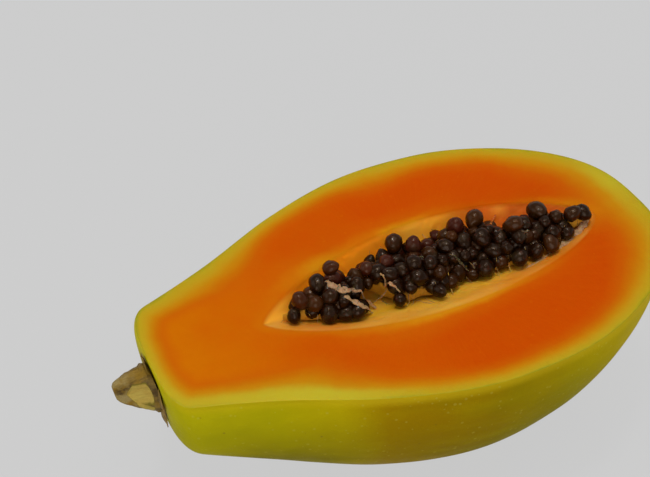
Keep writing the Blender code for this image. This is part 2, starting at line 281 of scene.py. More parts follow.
def inside_hollow(turn, reach):
    x, y = from_hub(turn, reach)
    between = (CAVITY_START[0] < x) & (x < CAVITY_END[0])
    return between & (hollow_depth(x, y)[0] > 0)


def even_turns():
    """Directions that cut the outer rim into steps of equal length."""
    turn = np.linspace(0, 2 * math.pi, RIM_SAMPLES)
    rim = on_ray(turn, skin_reach(turn, 0.0), 0.0)
    length = np.linalg.norm(np.diff(rim, axis=0), axis=1)
    along = np.concatenate([[0], np.cumsum(length)])
    print("the outer rim is", round(1000 * along[-1]), "mm long")
    return np.interp(np.arange(RAYS) / RAYS * along[-1], along, turn)


TURNS = even_turns()
HOLLOW_REACH = last_inside(TURNS, lambda r: inside_hollow(TURNS, r))
print("hollow reaches", (1000 * HOLLOW_REACH.min()).round(1), "to",
      (1000 * HOLLOW_REACH.max()).round(1), "mm from the hub")

# %% [markdown]
# ## One profile, swept round
#
# A lathe turns one profile. Here the profile changes with the direction: out over the
# rest spot, up the skin, round the crisp edge that the knife left, in across the cut
# face, over the softer lip of the hollow and down its wall. The result is one closed
# skin of quads with a single point at each end, as a fruit that grew in one piece.

# %% Rings of the fruit
SKIN_RINGS, REST_RINGS, EDGE_RINGS, CUT_RINGS, WALL_RINGS = 86, 3, 5, 34, 30
WALL_RING_POWER = 1.25
BELLY_RADIUS = STATION_RADII[3]
BELLY_AXIS = -AXIS_BELOW_CUT[1]
CUT_EDGE_ROUND, LIP_ROUND = 0.0005, 0.0011
STEEPEST_LIP, FLATTEST_LIP, SLOPE_STEP = 1.4, 0.35, 0.0004


def skin_rings():
    """From the middle of the rest spot up to just under the outer rim."""
    lowest = math.asin((REST_HEIGHT - BELLY_AXIS) / BELLY_RADIUS)
    highest = math.asin((-CUT_EDGE_ROUND - BELLY_AXIS) / BELLY_RADIUS)
    rings = []
    for angle in np.linspace(lowest, highest, SKIN_RINGS):
        height = BELLY_AXIS + BELLY_RADIUS * math.sin(angle)
        rings.append(on_ray(TURNS, skin_reach(TURNS, height), height))
    spot = np.linalg.norm(rings[0][:, :2] - HUB, axis=1)
    inner = [on_ray(TURNS, spot * (k + 0.5) / (REST_RINGS + 0.5), REST_HEIGHT)
             for k in range(REST_RINGS)]
    return inner + rings


def edge_rings():
    """The outer rim, rounded off by half a millimetre."""
    start = skin_reach(TURNS, -CUT_EDGE_ROUND)
    rings = []
    for angle in np.linspace(0, math.pi / 2, EDGE_RINGS + 1)[1:]:
        reach = start - CUT_EDGE_ROUND * (1 - math.cos(angle))
        rings.append(on_ray(TURNS, reach, CUT_EDGE_ROUND * (math.sin(angle) - 1)))
    return rings


def wall_slope():
    """How steeply the hollow's wall leaves its rim along each ray."""
    depth, _ = hollow_depth(*from_hub(TURNS, HOLLOW_REACH - SLOPE_STEP))
    return np.clip(depth / SLOPE_STEP, FLATTEST_LIP, STEEPEST_LIP)


def sunk_height(reach):
    """Height of the cut face and the hollow, with the lip between them eased."""
    inside, _ = hollow_depth(*from_hub(TURNS, reach))
    depth = np.where(reach < HOLLOW_REACH, inside, wall_slope() * (HOLLOW_REACH - reach))
    return -(depth + np.sqrt(depth ** 2 + LIP_ROUND ** 2)) / 2


def top_rings():
    """Across the cut face and down the hollow, with close rings at both rims."""
    outer = skin_reach(TURNS, -CUT_EDGE_ROUND) - CUT_EDGE_ROUND
    reaches = []
    for f in np.arange(1, CUT_RINGS + 1) / CUT_RINGS:
        eased = (f + (1 - math.cos(math.pi * f)) / 2) / 2
        reaches.append(outer + (HOLLOW_REACH - outer) * eased)
    for f in np.arange(1, WALL_RINGS) / WALL_RINGS:
        reaches.append(HOLLOW_REACH * (1 - f ** WALL_RING_POWER))
    return [on_ray(TURNS, reach, sunk_height(reach)) for reach in reaches]


below = skin_rings()
edge = edge_rings()
above = top_rings()
print(len(below), "rings below the rim,", len(edge), "round it and", len(above), "above")

# %% [markdown]
# ## From rings to a mesh
#
# `from_pydata` takes lists of corners, so the quads are counted out with NumPy. The
# first and last ring close to a point with a fan of triangles. Points move from the
# fruit's own frame to the frame of the solids here, once, so that the finished
# object can stay at the origin.

# %% Mesh from rings
MIDDLE_REACH = 1e-5


def quads_between(ring):
    """Corners of the quads between the rings of a grid of point numbers."""
    following = np.roll(ring, -1, axis=1)
    corners = [ring[:-1], following[:-1], following[1:], ring[1:]]
    return np.stack(corners, axis=-1).reshape(-1, 4)


def mesh_from_rings(name, rings, first_pole, last_pole):
    count, sides = len(rings), len(rings[0])
    points = np.concatenate([np.concatenate(rings), [first_pole, last_pole]])
    ring = np.arange(count * sides).reshape(count, sides)
    following = np.roll(ring, -1, axis=1)
    first, last = (np.full(sides, count * sides + k) for k in (0, 1))
    low_fan = np.stack([following[0], ring[0], first], axis=1)
    high_fan = np.stack([ring[-1], following[-1], last], axis=1)
    mesh = bpy.data.meshes.new(name)
    mesh.from_pydata((points + ORIGIN).tolist(), [],
                     quads_between(ring).tolist() + low_fan.tolist() + high_fan.tolist())
    mesh.shade_smooth()
    return mesh


def points_of(mesh):
    co = np.empty(len(mesh.vertices) * 3, np.float32)
    mesh.vertices.foreach_get("co", co)
    return co.reshape(-1, 3).astype(float)


def move_points(mesh, points):
    mesh.vertices.foreach_set("co", points.astype(np.float32).ravel())
    mesh.update()


floor_of_hollow = (*HUB, sunk_height(np.full(RAYS, MIDDLE_REACH))[0])
fruit_mesh = mesh_from_rings("papaya_half", below + edge + above,
                             (*HUB, REST_HEIGHT), floor_of_hollow)
fruit = put_in_scene("papaya_half", fruit_mesh)
print(len(fruit_mesh.vertices), "points,", len(fruit_mesh.polygons), "faces")

# %% [markdown]
# ## How true is it?
#
# The piece will stand for the plain solid, so it must lie on it. A BVH tree finds the
# nearest place of the solid's surface to any point. The largest distances are at the
# lip, which is rounder here, and between the solid's flat faces.

# %% Distance from the solid
SAMPLE_EVERY = 37


def tree_of(mesh):
    mesh.calc_loop_triangles()
    corners = [tuple(t.vertices) for t in mesh.loop_triangles]
    return BVHTree.FromPolygons([v.co for v in mesh.vertices], corners)


solid_tree = tree_of(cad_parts["fruit_half"].data)
sampled = points_of(fruit_mesh)[::SAMPLE_EVERY]
away = [1000 * solid_tree.find_nearest(Vector(p))[3] for p in sampled]
print("distance from the solid in mm: middle", round(float(np.median(away)), 3),
      "largest", round(max(away), 2))

# %% [markdown]
# ## Relief that a hand would feel
#
# No grown thing is as smooth as a formula. The skin gets slow waves and a scar where
# the flower fell off, the cut face gets the slight waver of the knife, and the
# hollow's wall gets folds and the small pits that seeds leave. Each is a height along
# the surface's normal, worked out from noise at the point's own place, so the pattern
# doesn't depend on the mesh. The rest spot and the two rims are left alone.

# %% Relief
SKIN_WAVES = ((0.00040, 0.040, (1.8, 1, 1)), (0.00010, 0.011, (1.5, 1, 1)))
CUT_WAVES = ((0.00012, 0.020, (1.6, 1, 1)), (0.00004, 0.0035, (1, 1, 1)))
WALL_FOLDS = ((0.00055, 0.0075, (3.5, 1, 1)),)
WALL_PIT, WALL_PIT_SIZE, WALL_PIT_EDGE = 0.00035, 0.0042, (0.05, 0.45)
BLOSSOM_SCAR = np.array((0.2100, -0.0101, -0.0012))
BLOSSOM_SCAR_DEPTH, BLOSSOM_SCAR_RADIUS = 0.0009, 0.0035
RIM_KEPT, REST_KEPT, LIP_KEPT = 0.0015, 0.0030, 0.0030


def eased_step(value, low, high):
    share = np.clip((value - low) / (high - low), 0, 1)
    return share * share * (3 - 2 * share)


def noise_at(points, size, stretch=(1, 1, 1)):
    scaled = points / (size * np.asarray(stretch))
    return np.array([noise.noise(Vector(p)) for p in scaled])


def waves_at(points, waves):
    """The sum of noises, each given by its height, its size and how it is stretched."""
    return sum(height * noise_at(points, size, stretch) for height, size, stretch in waves)


def pits_at(points, size):
    """1 in the middle of a pit and 0 between pits."""
    nearest = np.array([noise.voronoi(Vector(p))[0][0] for p in points / size])
    return 1 - eased_step(nearest, *WALL_PIT_EDGE)


def relief_of(points, part):
    """Height in metres that is added along the normal of each point."""
    lift = np.zeros(len(points))
    skin, cut, wall = (part == name for name in ("skin", "cut", "wall"))
    p = points[skin]
    kept = (eased_step(-p[:, 2], 0, RIM_KEPT)
            * eased_step(p[:, 2] - REST_HEIGHT, 0, REST_KEPT))
    from_scar = np.linalg.norm(p - BLOSSOM_SCAR, axis=1) / BLOSSOM_SCAR_RADIUS
    scar = BLOSSOM_SCAR_DEPTH * np.exp(-(from_scar ** 2))
    lift[skin] = kept * (waves_at(p, SKIN_WAVES) - scar)
    lift[cut] = waves_at(points[cut], CUT_WAVES)
    p = points[wall]
    pits = WALL_PIT * pits_at(p, WALL_PIT_SIZE)
    lift[wall] = eased_step(-p[:, 2], 0, LIP_KEPT) * (waves_at(p, WALL_FOLDS) - pits)
    return lift


def add_relief(mesh, part):
    points = points_of(mesh)
    normals = np.array([v.normal for v in mesh.vertices])
    move_points(mesh, points + normals * relief_of(points - ORIGIN, part)[:, None])


parts = ["skin"] * len(below) + ["edge"] * len(edge) + ["cut"] * CUT_RINGS
parts += ["wall"] * (len(above) - CUT_RINGS)
PART = np.append(np.repeat(parts, RAYS), ["edge", "wall"])
add_relief(fruit_mesh, PART)
print({name: int((PART == name).sum()) for name in ("skin", "edge", "cut", "wall")})

# %% [markdown]
# ## What a point of the flesh knows
#
# The colour of the flesh depends on how far it is from the skin and from the hollow.
# A material can't measure that, but a mesh can carry it: each point stores both
# distances in millimetres as attributes. Neither the pale band by the skin nor the
# golden one by the hollow is equally wide all round, so each distance is divided by a
# width that is read from a table of directions. `gold` says how strong the band by
# the hollow is, and `unripe` is 1 where the band by the skin is still lime. `spoke`
# is the direction from the hub, which fibres follow without a seam, and `across` runs
# from the hollow's near rim at -1 to its far rim at 1.

# %% Attributes of the fruit
BAND_TURNS = range(-180, 180, 10)
BAND_WIDTHS = (0.82, 1.12, 1.55, 1.24, 1.07, 0.85, 0.86, 0.78, 0.73, 0.71, 0.72, 0.76, 0.78,
               0.86, 0.92, 1.27, 1.70, 2.20, 2.15, 1.67, 1.48, 1.10, 1.08, 1.07, 1.12, 1.26,
               1.31, 1.20, 0.95, 0.87, 0.81, 0.74, 0.92, 1.34, 1.62, 0.85)
HALO_TURNS = range(-180, 180, 15)
HALO_WIDTHS = (0.85, 0.75, 1.00, 1.05, 0.98, 0.92, 0.82, 0.74, 0.72, 0.55, 0.75, 1.10,
               1.20, 0.60, 0.80, 1.05, 0.72, 0.78, 0.75, 1.05, 1.60, 1.15, 1.60, 1.60)
HALO_SHARES = (0.33, 0.44, 0.60, 0.83, 1.10, 1.20, 1.20, 1.20, 1.15, 0.85, 0.42, 0.05,
               0.66, 0.14, 0.18, 0.40, 1.05, 1.05, 1.20, 0.52, 0.38, 0.60, 1.15, 0.25)
UNRIPE_SPOTS = ((-152, 24, 1.0), (2, 8, 0.6))
BLOCKS = 64


def put(mesh, name, values):
    """Stores a number or a vector for each point of a mesh."""
    values = np.asarray(values, np.float32)
    kind, field = ("FLOAT", "value") if values.ndim == 1 else ("FLOAT_VECTOR", "vector")
    mesh.attributes.new(name, kind, "POINT").data.foreach_set(field, values.ravel())


def distance_under_skin(points):
    """Millimetres from each point to the outer skin, which is sought in the mesh."""
    ring = np.arange((len(below) + 2) * RAYS).reshape(-1, RAYS)
    skin = BVHTree.FromPolygons(points.tolist(), quads_between(ring).tolist())
    return np.array([1000 * skin.find_nearest(Vector(p))[3] for p in points])


def distance_from_hollow(turn, reach, flat):
    """Millimetres outside the hollow's rim, or below 0 inside it."""
    rim = on_ray(TURNS, HOLLOW_REACH, 0.0)[:, :2]
    nearest = np.concatenate([
        np.sqrt(((block[:, None] - rim) ** 2).sum(axis=2)).min(axis=1)
        for block in np.array_split(flat, BLOCKS)])
    inside = reach < np.interp(turn, TURNS, HOLLOW_REACH, period=2 * math.pi)
    return 1000 * np.where(inside, -nearest, nearest)


points = points_of(fruit_mesh)
flat = points[:, :2] - ORIGIN[:2]
out = flat - HUB
turn, reach = np.arctan2(out[:, 1], out[:, 0]), np.hypot(out[:, 0], out[:, 1])
degrees = np.degrees(turn)
band, halo, gold = (
    np.interp(degrees, turns, values, period=360) for turns, values in
    ((BAND_TURNS, BAND_WIDTHS), (HALO_TURNS, HALO_WIDTHS), (HALO_TURNS, HALO_SHARES)))
on_top = (PART != "skin") & (points[:, 2] > ORIGIN[2] + REST_HEIGHT / 2)
rind = np.where(on_top, distance_under_skin(points) / band, 0)
hollow = distance_from_hollow(turn, reach, flat)
hollow = np.where(hollow > 0, hollow / halo, hollow)
unripe = sum(share * np.exp(-(((degrees - middle + 180) % 360 - 180) / breadth) ** 2)
             for middle, breadth, share in UNRIPE_SPOTS)
across = np.clip(hollow_depth(*flat.T)[1], -2, 2)
spoke = np.stack([np.cos(turn), np.sin(turn), reach / FRUIT_LENGTH], axis=1)
for name, values in (("rind", rind), ("hollow", hollow), ("gold", gold),
                     ("unripe", unripe), ("across", across), ("spoke", spoke)):
    put(fruit_mesh, name, values)
print("rind to", rind.max().round(1), "mm, hollow from", hollow.min().round(1), "mm")

# %% [markdown]
# ## Small tools for node trees
#
# A shader and a Geometry Nodes tree are both built by adding nodes and linking
# sockets. `add` takes a node's own settings by name and its inputs in a dictionary,
# and `fill` sets each input that is a value and links each that is a socket. The
# others wrap what every tree here needs: a mix of two colours, a mask that lays paint
# over a colour, a ramp, a soft step and sums. `material` starts a new material, with
# the constants of its finish set on the shader itself.

# %% Node tools
MIX_A, MIX_B, MIX_RESULT = 6, 7, 2


def fill(tree, node, inputs):
    for name, value in inputs.items():
        if isinstance(value, bpy.types.NodeSocket):
            tree.links.new(value, node.inputs[name])
        else:
            node.inputs[name].default_value = value
    return node


def add(tree, kind, inputs=None, **settings):
    node = tree.nodes.new(kind)
    for name, value in settings.items():
        setattr(node, name, value)
    return fill(tree, node, inputs or {})


def rgba(colour):
    return colour if isinstance(colour, bpy.types.NodeSocket) else (*colour, 1)


def mixed(tree, share, a, b):
    """A colour between a and b. The Mix node has its sockets for colours by number."""
    return add(tree, "ShaderNodeMix", {0: share, MIX_A: rgba(a), MIX_B: rgba(b)},
               data_type="RGBA").outputs[MIX_RESULT]


def soft_step(tree, value, low, high, to_low=0.0, to_high=1.0):
    return add(tree, "ShaderNodeMapRange",
               {"Value": value, "From Min": low, "From Max": high,
                "To Min": to_low, "To Max": to_high},
               interpolation_type="SMOOTHSTEP").outputs["Result"]


def maths(tree, how, a, b=0.0):
    return add(tree, "ShaderNodeMath", {0: a, 1: b}, operation=how).outputs[0]


def vector_maths(tree, how, a, b):
    return add(tree, "ShaderNodeVectorMath", {0: a, 1: b}, operation=how).outputs["Vector"]


def split(tree, vector):
    return add(tree, "ShaderNodeSeparateXYZ", {"Vector": vector}).outputs


def laid_over(tree, colour, mask, strength, paint):
    """A colour with paint over it where a mask is 1, as strongly as it says."""
    return mixed(tree, maths(tree, "MULTIPLY", mask, strength), colour, paint)


def wavered(tree, value, mask, by):
    """A value that a mask shifts by up to as much, either way."""
    return maths(tree, "ADD", value, soft_step(tree, mask, 0, 1, -by, by))


def ramp(tree, value, stops):
    """A colour ramp. Stops are (place, colour), and a value outside keeps the ends."""
    low, high = stops[0][0], stops[-1][0]
    share = add(tree, "ShaderNodeMapRange", {"Value": value, "From Min": low, "From Max": high})
    node = add(tree, "ShaderNodeValToRGB", {"Fac": share.outputs["Result"]})
    elements = node.color_ramp.elements
    while len(elements) < len(stops):
        elements.new(0.5)
    for element, (place, colour) in zip(elements, stops):
        element.position = (place - low) / (high - low)
        element.color = (*colour, 1)
    return node.outputs["Color"]


def attribute(tree, name, output="Fac"):
    return add(tree, "ShaderNodeAttribute", attribute_name=name).outputs[output]


def material(name, finish):
    """A new material: its tree, its Principled BSDF and its object coordinates."""
    made = bpy.data.materials.new(name)
    made.use_nodes = True
    tree = made.node_tree
    place = add(tree, "ShaderNodeTexCoord").outputs["Object"]
    return made, tree, fill(tree, tree.nodes["Principled BSDF"], finish), place


print("node tools ready")

# %% [markdown]
# ## Effects that several surfaces share
#
# Skin, flesh, seeds and wood all vary in patches, have a fine grain that catches the
# light, and carry specks. Each effect is a node group, built once with named sockets
# and placed in the materials with their own numbers: the scale, cover and blur of
# patches, the scale, size and share of specks, and the scale and depth of grain. A
# group hands back a mask or a normal and leaves the shader itself to the material.
# In the cells that follow, a `PAINT` is how strongly a colour shows and the colour,
# and a `SPAN` is where a soft step starts and ends, and then its two values.

# %% Shader groups
PATCH_NOISE, GRAIN_NOISE = (4.0, 0.55), (5.0, 0.6)
SPECK_LEAST, SPECK_CORE = 0.4, 0.5


def shader_group(name, given, result):
    """A new group. A number that is given makes a socket with that value, None a vector."""
    tree = bpy.data.node_groups.new(name, "ShaderNodeTree")
    for label, value in given.items():
        kind = "NodeSocketVector" if value is None else "NodeSocketFloat"
        socket = tree.interface.new_socket(label, in_out="INPUT", socket_type=kind)
        if value is not None:
            socket.default_value = value
    kind = "NodeSocketVector" if result == "Normal" else "NodeSocketFloat"
    tree.interface.new_socket(result, in_out="OUTPUT", socket_type=kind)
    given = tree.nodes.new("NodeGroupInput").outputs
    return tree, given, tree.nodes.new("NodeGroupOutput").inputs[result]


def cloud(tree, place, scale, detail, roughness=0.5):
    """Noise from 0 to 1 at a place, as one number in Fac and three in Color."""
    return add(tree, "ShaderNodeTexNoise", {
        "Vector": place, "Scale": scale, "Detail": detail, "Roughness": roughness}).outputs


def patches_group():
    """Soft patches: 0 and 1 with a blurred border, in noise of a given size."""
    tree, given, result = shader_group(
        "patches", {"Vector": None, "Scale": 30.0, "Cover": 0.5, "Blur": 0.15}, "Mask")
    value = cloud(tree, given["Vector"], given["Scale"], *PATCH_NOISE)["Fac"]
    bar = maths(tree, "SUBTRACT", 1.0, given["Cover"])
    low = maths(tree, "SUBTRACT", bar, given["Blur"])
    high = maths(tree, "ADD", bar, given["Blur"])
    tree.links.new(soft_step(tree, value, low, high), result)
    return tree


def grain_group():
    """A normal bent by fine noise. Depth is the height of the grain in metres."""
    tree, given, result = shader_group(
        "grain", {"Vector": None, "Scale": 400.0, "Depth": 0.0001, "Normal": None}, "Normal")
    height = cloud(tree, given["Vector"], given["Scale"], *GRAIN_NOISE)["Fac"]
    bump = add(tree, "ShaderNodeBump", {
        "Height": height, "Distance": given["Depth"], "Normal": given["Normal"]})
    tree.links.new(bump.outputs["Normal"], result)
    return tree


def specks_group():
    """Small round specks, one in some of the cells of a random honeycomb."""
    tree, given, result = shader_group(
        "specks", {"Vector": None, "Scale": 200.0, "Size": 0.2, "Share": 0.5}, "Mask")
    cells = add(tree, "ShaderNodeTexVoronoi", {"Vector": given["Vector"], "Scale": given["Scale"]})
    pick = add(tree, "ShaderNodeSeparateColor", {"Color": cells.outputs["Color"]})
    chosen = maths(tree, "LESS_THAN", pick.outputs["Red"], given["Share"])
    share = maths(tree, "ADD", pick.outputs["Green"], SPECK_LEAST)
    size = maths(tree, "MULTIPLY", given["Size"], share)
    inner = maths(tree, "MULTIPLY", size, SPECK_CORE)
    spot = soft_step(tree, cells.outputs["Distance"], inner, size, 1.0, 0.0)
    tree.links.new(maths(tree, "MULTIPLY", spot, chosen), result)
    return tree


PATCHES, GRAIN, SPECKS = patches_group(), grain_group(), specks_group()


def use(tree, group, place, *numbers, **inputs):
    """Places a group in a material, at a place and with its numbers in their order."""
    node = add(tree, "ShaderNodeGroup", {"Vector": place, **inputs}, node_tree=group)
    for socket, number in zip(node.inputs[1:], numbers):
        socket.default_value = number
    return node.outputs[0]


print("shader groups:", [g.name for g in (PATCHES, GRAIN, SPECKS)])

# %% [markdown]
# ## Skin: green going yellow
#
# Papaya skin ripens in patches, and this one goes from lime at the stalk through a
# browner belly to gold at the other end. A colour ramp along the fruit gives that,
# and large soft noise shifts its stops so that they don't show as rings. Shade is
# painted into the colour, which darkens towards the underside, and the skin has a
# paler strip just under the knife's edge.
# Streaks follow the ribs, pale specks are its pores and brown ones its scuffs, and a
# corky ring surrounds the stalk. The wax is thin and worn, so the coat is weak.

# %% Skin material
SKIN_ALONG = ((-0.100, (0.510, 0.440, 0.003)), (-0.080, (0.410, 0.350, 0.003)),
              (-0.063, (0.365, 0.310, 0.002)), (-0.048, (0.410, 0.315, 0.002)),
              (-0.034, (0.302, 0.178, 0.001)), (-0.014, (0.285, 0.163, 0.001)),
              (0.010, (0.278, 0.172, 0.001)), (0.043, (0.346, 0.260, 0.002)),
              (0.090, (0.520, 0.385, 0.004)))
CLOUDS, CLOUD_SHIFT = (14.0, 0.50, 0.30), 0.004
BLOTCHES, BLOTCH_SQUEEZE, BLOTCH_PAINT = (19.0, 0.42, 0.16), 0.55, (0.45, (0.165, 0.180, 0.003))
# Painted shade: how strongly it darkens the underside at each place along the fruit.
PAINTED_SHADE_ALONG = ((-0.090, (0.45,) * 3), (-0.072, (1.0,) * 3), (-0.050, (0.95,) * 3),
              (-0.030, (0.50,) * 3), (-0.010, (0.60,) * 3), (0.010, (0.75,) * 3),
              (0.065, (0.45,) * 3))
# Painted shade: the heights where it starts and ends, how its edge wavers, and its colour.
PAINTED_SHADE_SPAN, PAINTED_SHADE_SHIFT, PAINTED_SHADE_COLOUR = (0.083, 0.044, 0.0, 0.85), 0.006, (0.135, 0.108, 0.002)
STRIP_SPAN, STRIP_RISE_SPAN = (0.0810, 0.0850), (0.030, 0.090, 0.0, 0.003)
STRIP_STRENGTH_SPAN, STRIP_COLOUR = (-0.055, -0.040, 0.35, 0.60), (0.520, 0.370, 0.008)
STREAKS, STREAK_SQUEEZE, STREAK_PAINT = (150.0, 0.42, 0.18), 0.12, (0.12, (0.450, 0.385, 0.003))
PORES, PORE_PAINT = (420.0, 0.26, 0.55), (0.22, (0.48, 0.42, 0.06))
SCUFFS, SCUFF_PAINT = (190.0, 0.12, 0.22), (0.55, (0.17, 0.11, 0.012))
STALK_BASE, CORK_COLOUR = np.array((0.0, 0.0096, -0.0178)), (0.16, 0.09, 0.025)
CORK_RADIUS, CORK_BREADTH, CORK_BREAKS = 0.0118, 0.0022, (330.0, 0.55, 0.12)
WORN_WAX, SKIN_ROUGHNESS = (60.0, 0.50, 0.30), (0.40, 0.56)
SKIN_BUMPS, SKIN_GRAIN = (260.0, 0.00025), (1400.0, 0.00006)
SKIN_FINISH = {"Specular IOR Level": 0.005, "Specular Tint": (1.0, 0.90, 0.15, 1.0),
               "Coat Weight": 0.006, "Coat Roughness": 0.25, "Subsurface Weight": 0.15,
               "Subsurface Radius": (1.0, 0.8, 0.2), "Subsurface Scale": 0.0015}


def along_ribs(tree, place, squeeze):
    """Object coordinates with x shortened, so that a pattern runs lengthwise."""
    return vector_maths(tree, "MULTIPLY", place, (squeeze, 1, 1))


def ring_mask(tree, place, middle, radius, breadth):
    """1 at a radius from a point of the fruit and 0 further off than the breadth."""
    away = add(tree, "ShaderNodeVectorMath", {0: place, 1: tuple(ORIGIN + middle)},
               operation="DISTANCE").outputs["Value"]
    off = maths(tree, "ABSOLUTE", maths(tree, "SUBTRACT", away, radius))
    return soft_step(tree, off, 0.0, breadth, 1.0, 0.0)


def ripening(tree, place):
    """The skin's colour before small marks: along the fruit, painted shade low, pale at the rim."""
    part = split(tree, place)
    x, z = part["X"], part["Z"]
    clouds = use(tree, PATCHES, place, *CLOUDS)
    colour = ramp(tree, wavered(tree, x, clouds, CLOUD_SHIFT), SKIN_ALONG)
    blotches = use(tree, PATCHES, along_ribs(tree, place, BLOTCH_SQUEEZE), *BLOTCHES)
    colour = laid_over(tree, colour, blotches, *BLOTCH_PAINT)
    # Painted shade: the colour darkens towards the underside.
    painted_shade = soft_step(tree, wavered(tree, z, clouds, PAINTED_SHADE_SHIFT), *PAINTED_SHADE_SPAN)
    colour = laid_over(tree, colour, painted_shade, ramp(tree, x, PAINTED_SHADE_ALONG), PAINTED_SHADE_COLOUR)
    strip = maths(tree, "ADD", z, soft_step(tree, x, *STRIP_RISE_SPAN))
    return laid_over(tree, colour, soft_step(tree, strip, *STRIP_SPAN),
                     soft_step(tree, x, *STRIP_STRENGTH_SPAN), STRIP_COLOUR)


def skin_material():
    made, tree, shader, place = material("skin", SKIN_FINISH)
    streaks = use(tree, PATCHES, along_ribs(tree, place, STREAK_SQUEEZE), *STREAKS)
    colour = laid_over(tree, ripening(tree, place), streaks, *STREAK_PAINT)
    colour = laid_over(tree, colour, use(tree, SPECKS, place, *PORES), *PORE_PAINT)
    colour = laid_over(tree, colour, use(tree, SPECKS, place, *SCUFFS), *SCUFF_PAINT)
    cork = ring_mask(tree, place, STALK_BASE, CORK_RADIUS, CORK_BREADTH)
    colour = laid_over(tree, colour, cork, use(tree, PATCHES, place, *CORK_BREAKS), CORK_COLOUR)
    scar = ring_mask(tree, place, BLOSSOM_SCAR, 0.0, BLOSSOM_SCAR_RADIUS)
    dull = use(tree, PATCHES, place, *WORN_WAX)
    bumps = use(tree, GRAIN, place, *SKIN_BUMPS)
    fill(tree, shader, {"Base Color": mixed(tree, scar, colour, CORK_COLOUR),
                        "Roughness": soft_step(tree, dull, 0, 1, *SKIN_ROUGHNESS),
                        "Normal": use(tree, GRAIN, place, *SKIN_GRAIN, Normal=bumps)})
    return made


skin = skin_material()
print("skin nodes:", len(skin.node_tree.nodes))

# %% [markdown]
# ## Flesh: one colour rule for cut face and hollow
#
# Both distances stored above feed the colour: lime to gold to orange under the skin,
# and a halo of gold round the hollow that fades into the pulp. Pulp is redder towards
# the round end, which ripens first. The hollow's wall is a skin of its own, pale gold
# on the near side and more orange on the far side, so each side has a ramp along the
# hollow, and a bare knot shows where seeds came off. Pulp is soft and wet, so some
# light travels under its surface, and its film of juice is uneven: that goes into the
# roughness. Fibres run away from the hollow, along `spoke`.

# %% Flesh material
FLESH_DEEP, FLESH_RED = (0.500, 0.075, 0.0004), (0.487, 0.046, 0.0003)
NECK_SPAN, NECK_COLOUR = (-0.030, -0.085), (0.532, 0.142, 0.0008)
ROUND_END_SPAN = (-0.012, 0.012, 0.0, 0.45)
PULP_CLOUDS, PULP_CLOUD_PAINT = (42.0, 0.45, 0.30), (0.35, FLESH_RED)
FIBRES, FIBRE_STRETCH = (1.6, 0.40, 0.22), (34.0, 34.0, 9.0)
FIBRE_PAINT = (0.10, (0.555, 0.134, 0.002))
FLESH_DOTS, DOT_PAINT = (330.0, 0.20, 0.30), (0.20, (0.555, 0.134, 0.002))
WAVER, RIND_SHIFT, HALO_SHIFT = (75.0, 0.50, 0.35), 0.45, 0.8
RIND = ((0.0, (0.270, 0.255, 0.012)), (1.0, (0.415, 0.296, 0.012)),
        (3.2, (0.460, 0.264, 0.009)), (5.2, (0.482, 0.197, 0.004)),
        (7.2, (0.488, 0.140, 0.002)), (9.5, (0.500, 0.101, 0.0015)))
RIND_SPAN, UNRIPE_SPAN, UNRIPE_COLOUR = (7.0, 14.5), (5.0, 2.0), (0.462, 0.375, 0.021)
HALO_SPAN, FADE_SPAN = (5.5, 0.0, 0.0, 0.85), (14.0, 2.75, 0.0, 0.19)
HALO_GOLD = (0.560, 0.205, 0.004)
WALL_SPAN, DEEP_SPAN, DEEP_COLOUR = (0.5, -1.2), (-4.0, -10.0), (0.660, 0.310, 0.012)
NEAR_WALL = ((0.00, (0.670, 0.250, 0.014)), (0.05, (0.660, 0.240, 0.014)),
             (0.11, (0.620, 0.150, 0.006)), (0.17, (0.620, 0.155, 0.006)),
             (0.25, (0.650, 0.240, 0.012)), (0.37, (0.650, 0.255, 0.014)),
             (0.45, (0.660, 0.320, 0.030)), (0.53, (0.660, 0.255, 0.016)),
             (0.72, (0.600, 0.160, 0.006)), (1.00, (0.600, 0.150, 0.006)))
# Far side of the wall: orange and gold, painted lighter to lift the shade that falls in the hollow.
FAR_WALL_WITH_PAINTED_LIGHT = ((0.00, (0.900, 0.420, 0.040)), (0.07, (0.900, 0.380, 0.030)),
            (0.13, (0.920, 0.260, 0.006)), (0.30, (0.900, 0.270, 0.008)),
            (0.42, (0.880, 0.270, 0.010)), (0.50, (0.880, 0.380, 0.030)),
            (0.62, (0.860, 0.310, 0.020)), (0.70, (0.840, 0.180, 0.015)),
            (0.92, (0.840, 0.160, 0.020)), (1.00, (0.840, 0.270, 0.030)))
FAR_SIDE_SPAN = (0.15, 0.55)
WALL_BLOTCHES, WALL_SQUEEZE, WALL_PAINT = (110.0, 0.50, 0.25), 0.4, (0.40, (0.700, 0.380, 0.080))
KNOT_MIDDLE, KNOT_RADIUS, KNOT_COLOUR = (0.1565, 0.0120, -0.0020), 0.0052, (0.950, 0.300, 0.030)
FLESH_JUICE, FLESH_ROUGHNESS = (130.0, 0.50, 0.30), (0.30, 0.52)
FLESH_BUMPS, FLESH_GRAIN = (420.0, 0.00022), (1900.0, 0.00006)
FLESH_FINISH = {"Specular IOR Level": 0.02, "Specular Tint": (1.0, 0.45, 0.05, 1.0),
                "Coat Weight": 0.006, "Coat Roughness": 0.12, "Subsurface Weight": 0.35,
                "Subsurface Radius": (1.0, 0.30, 0.05), "Subsurface Scale": 0.0030}


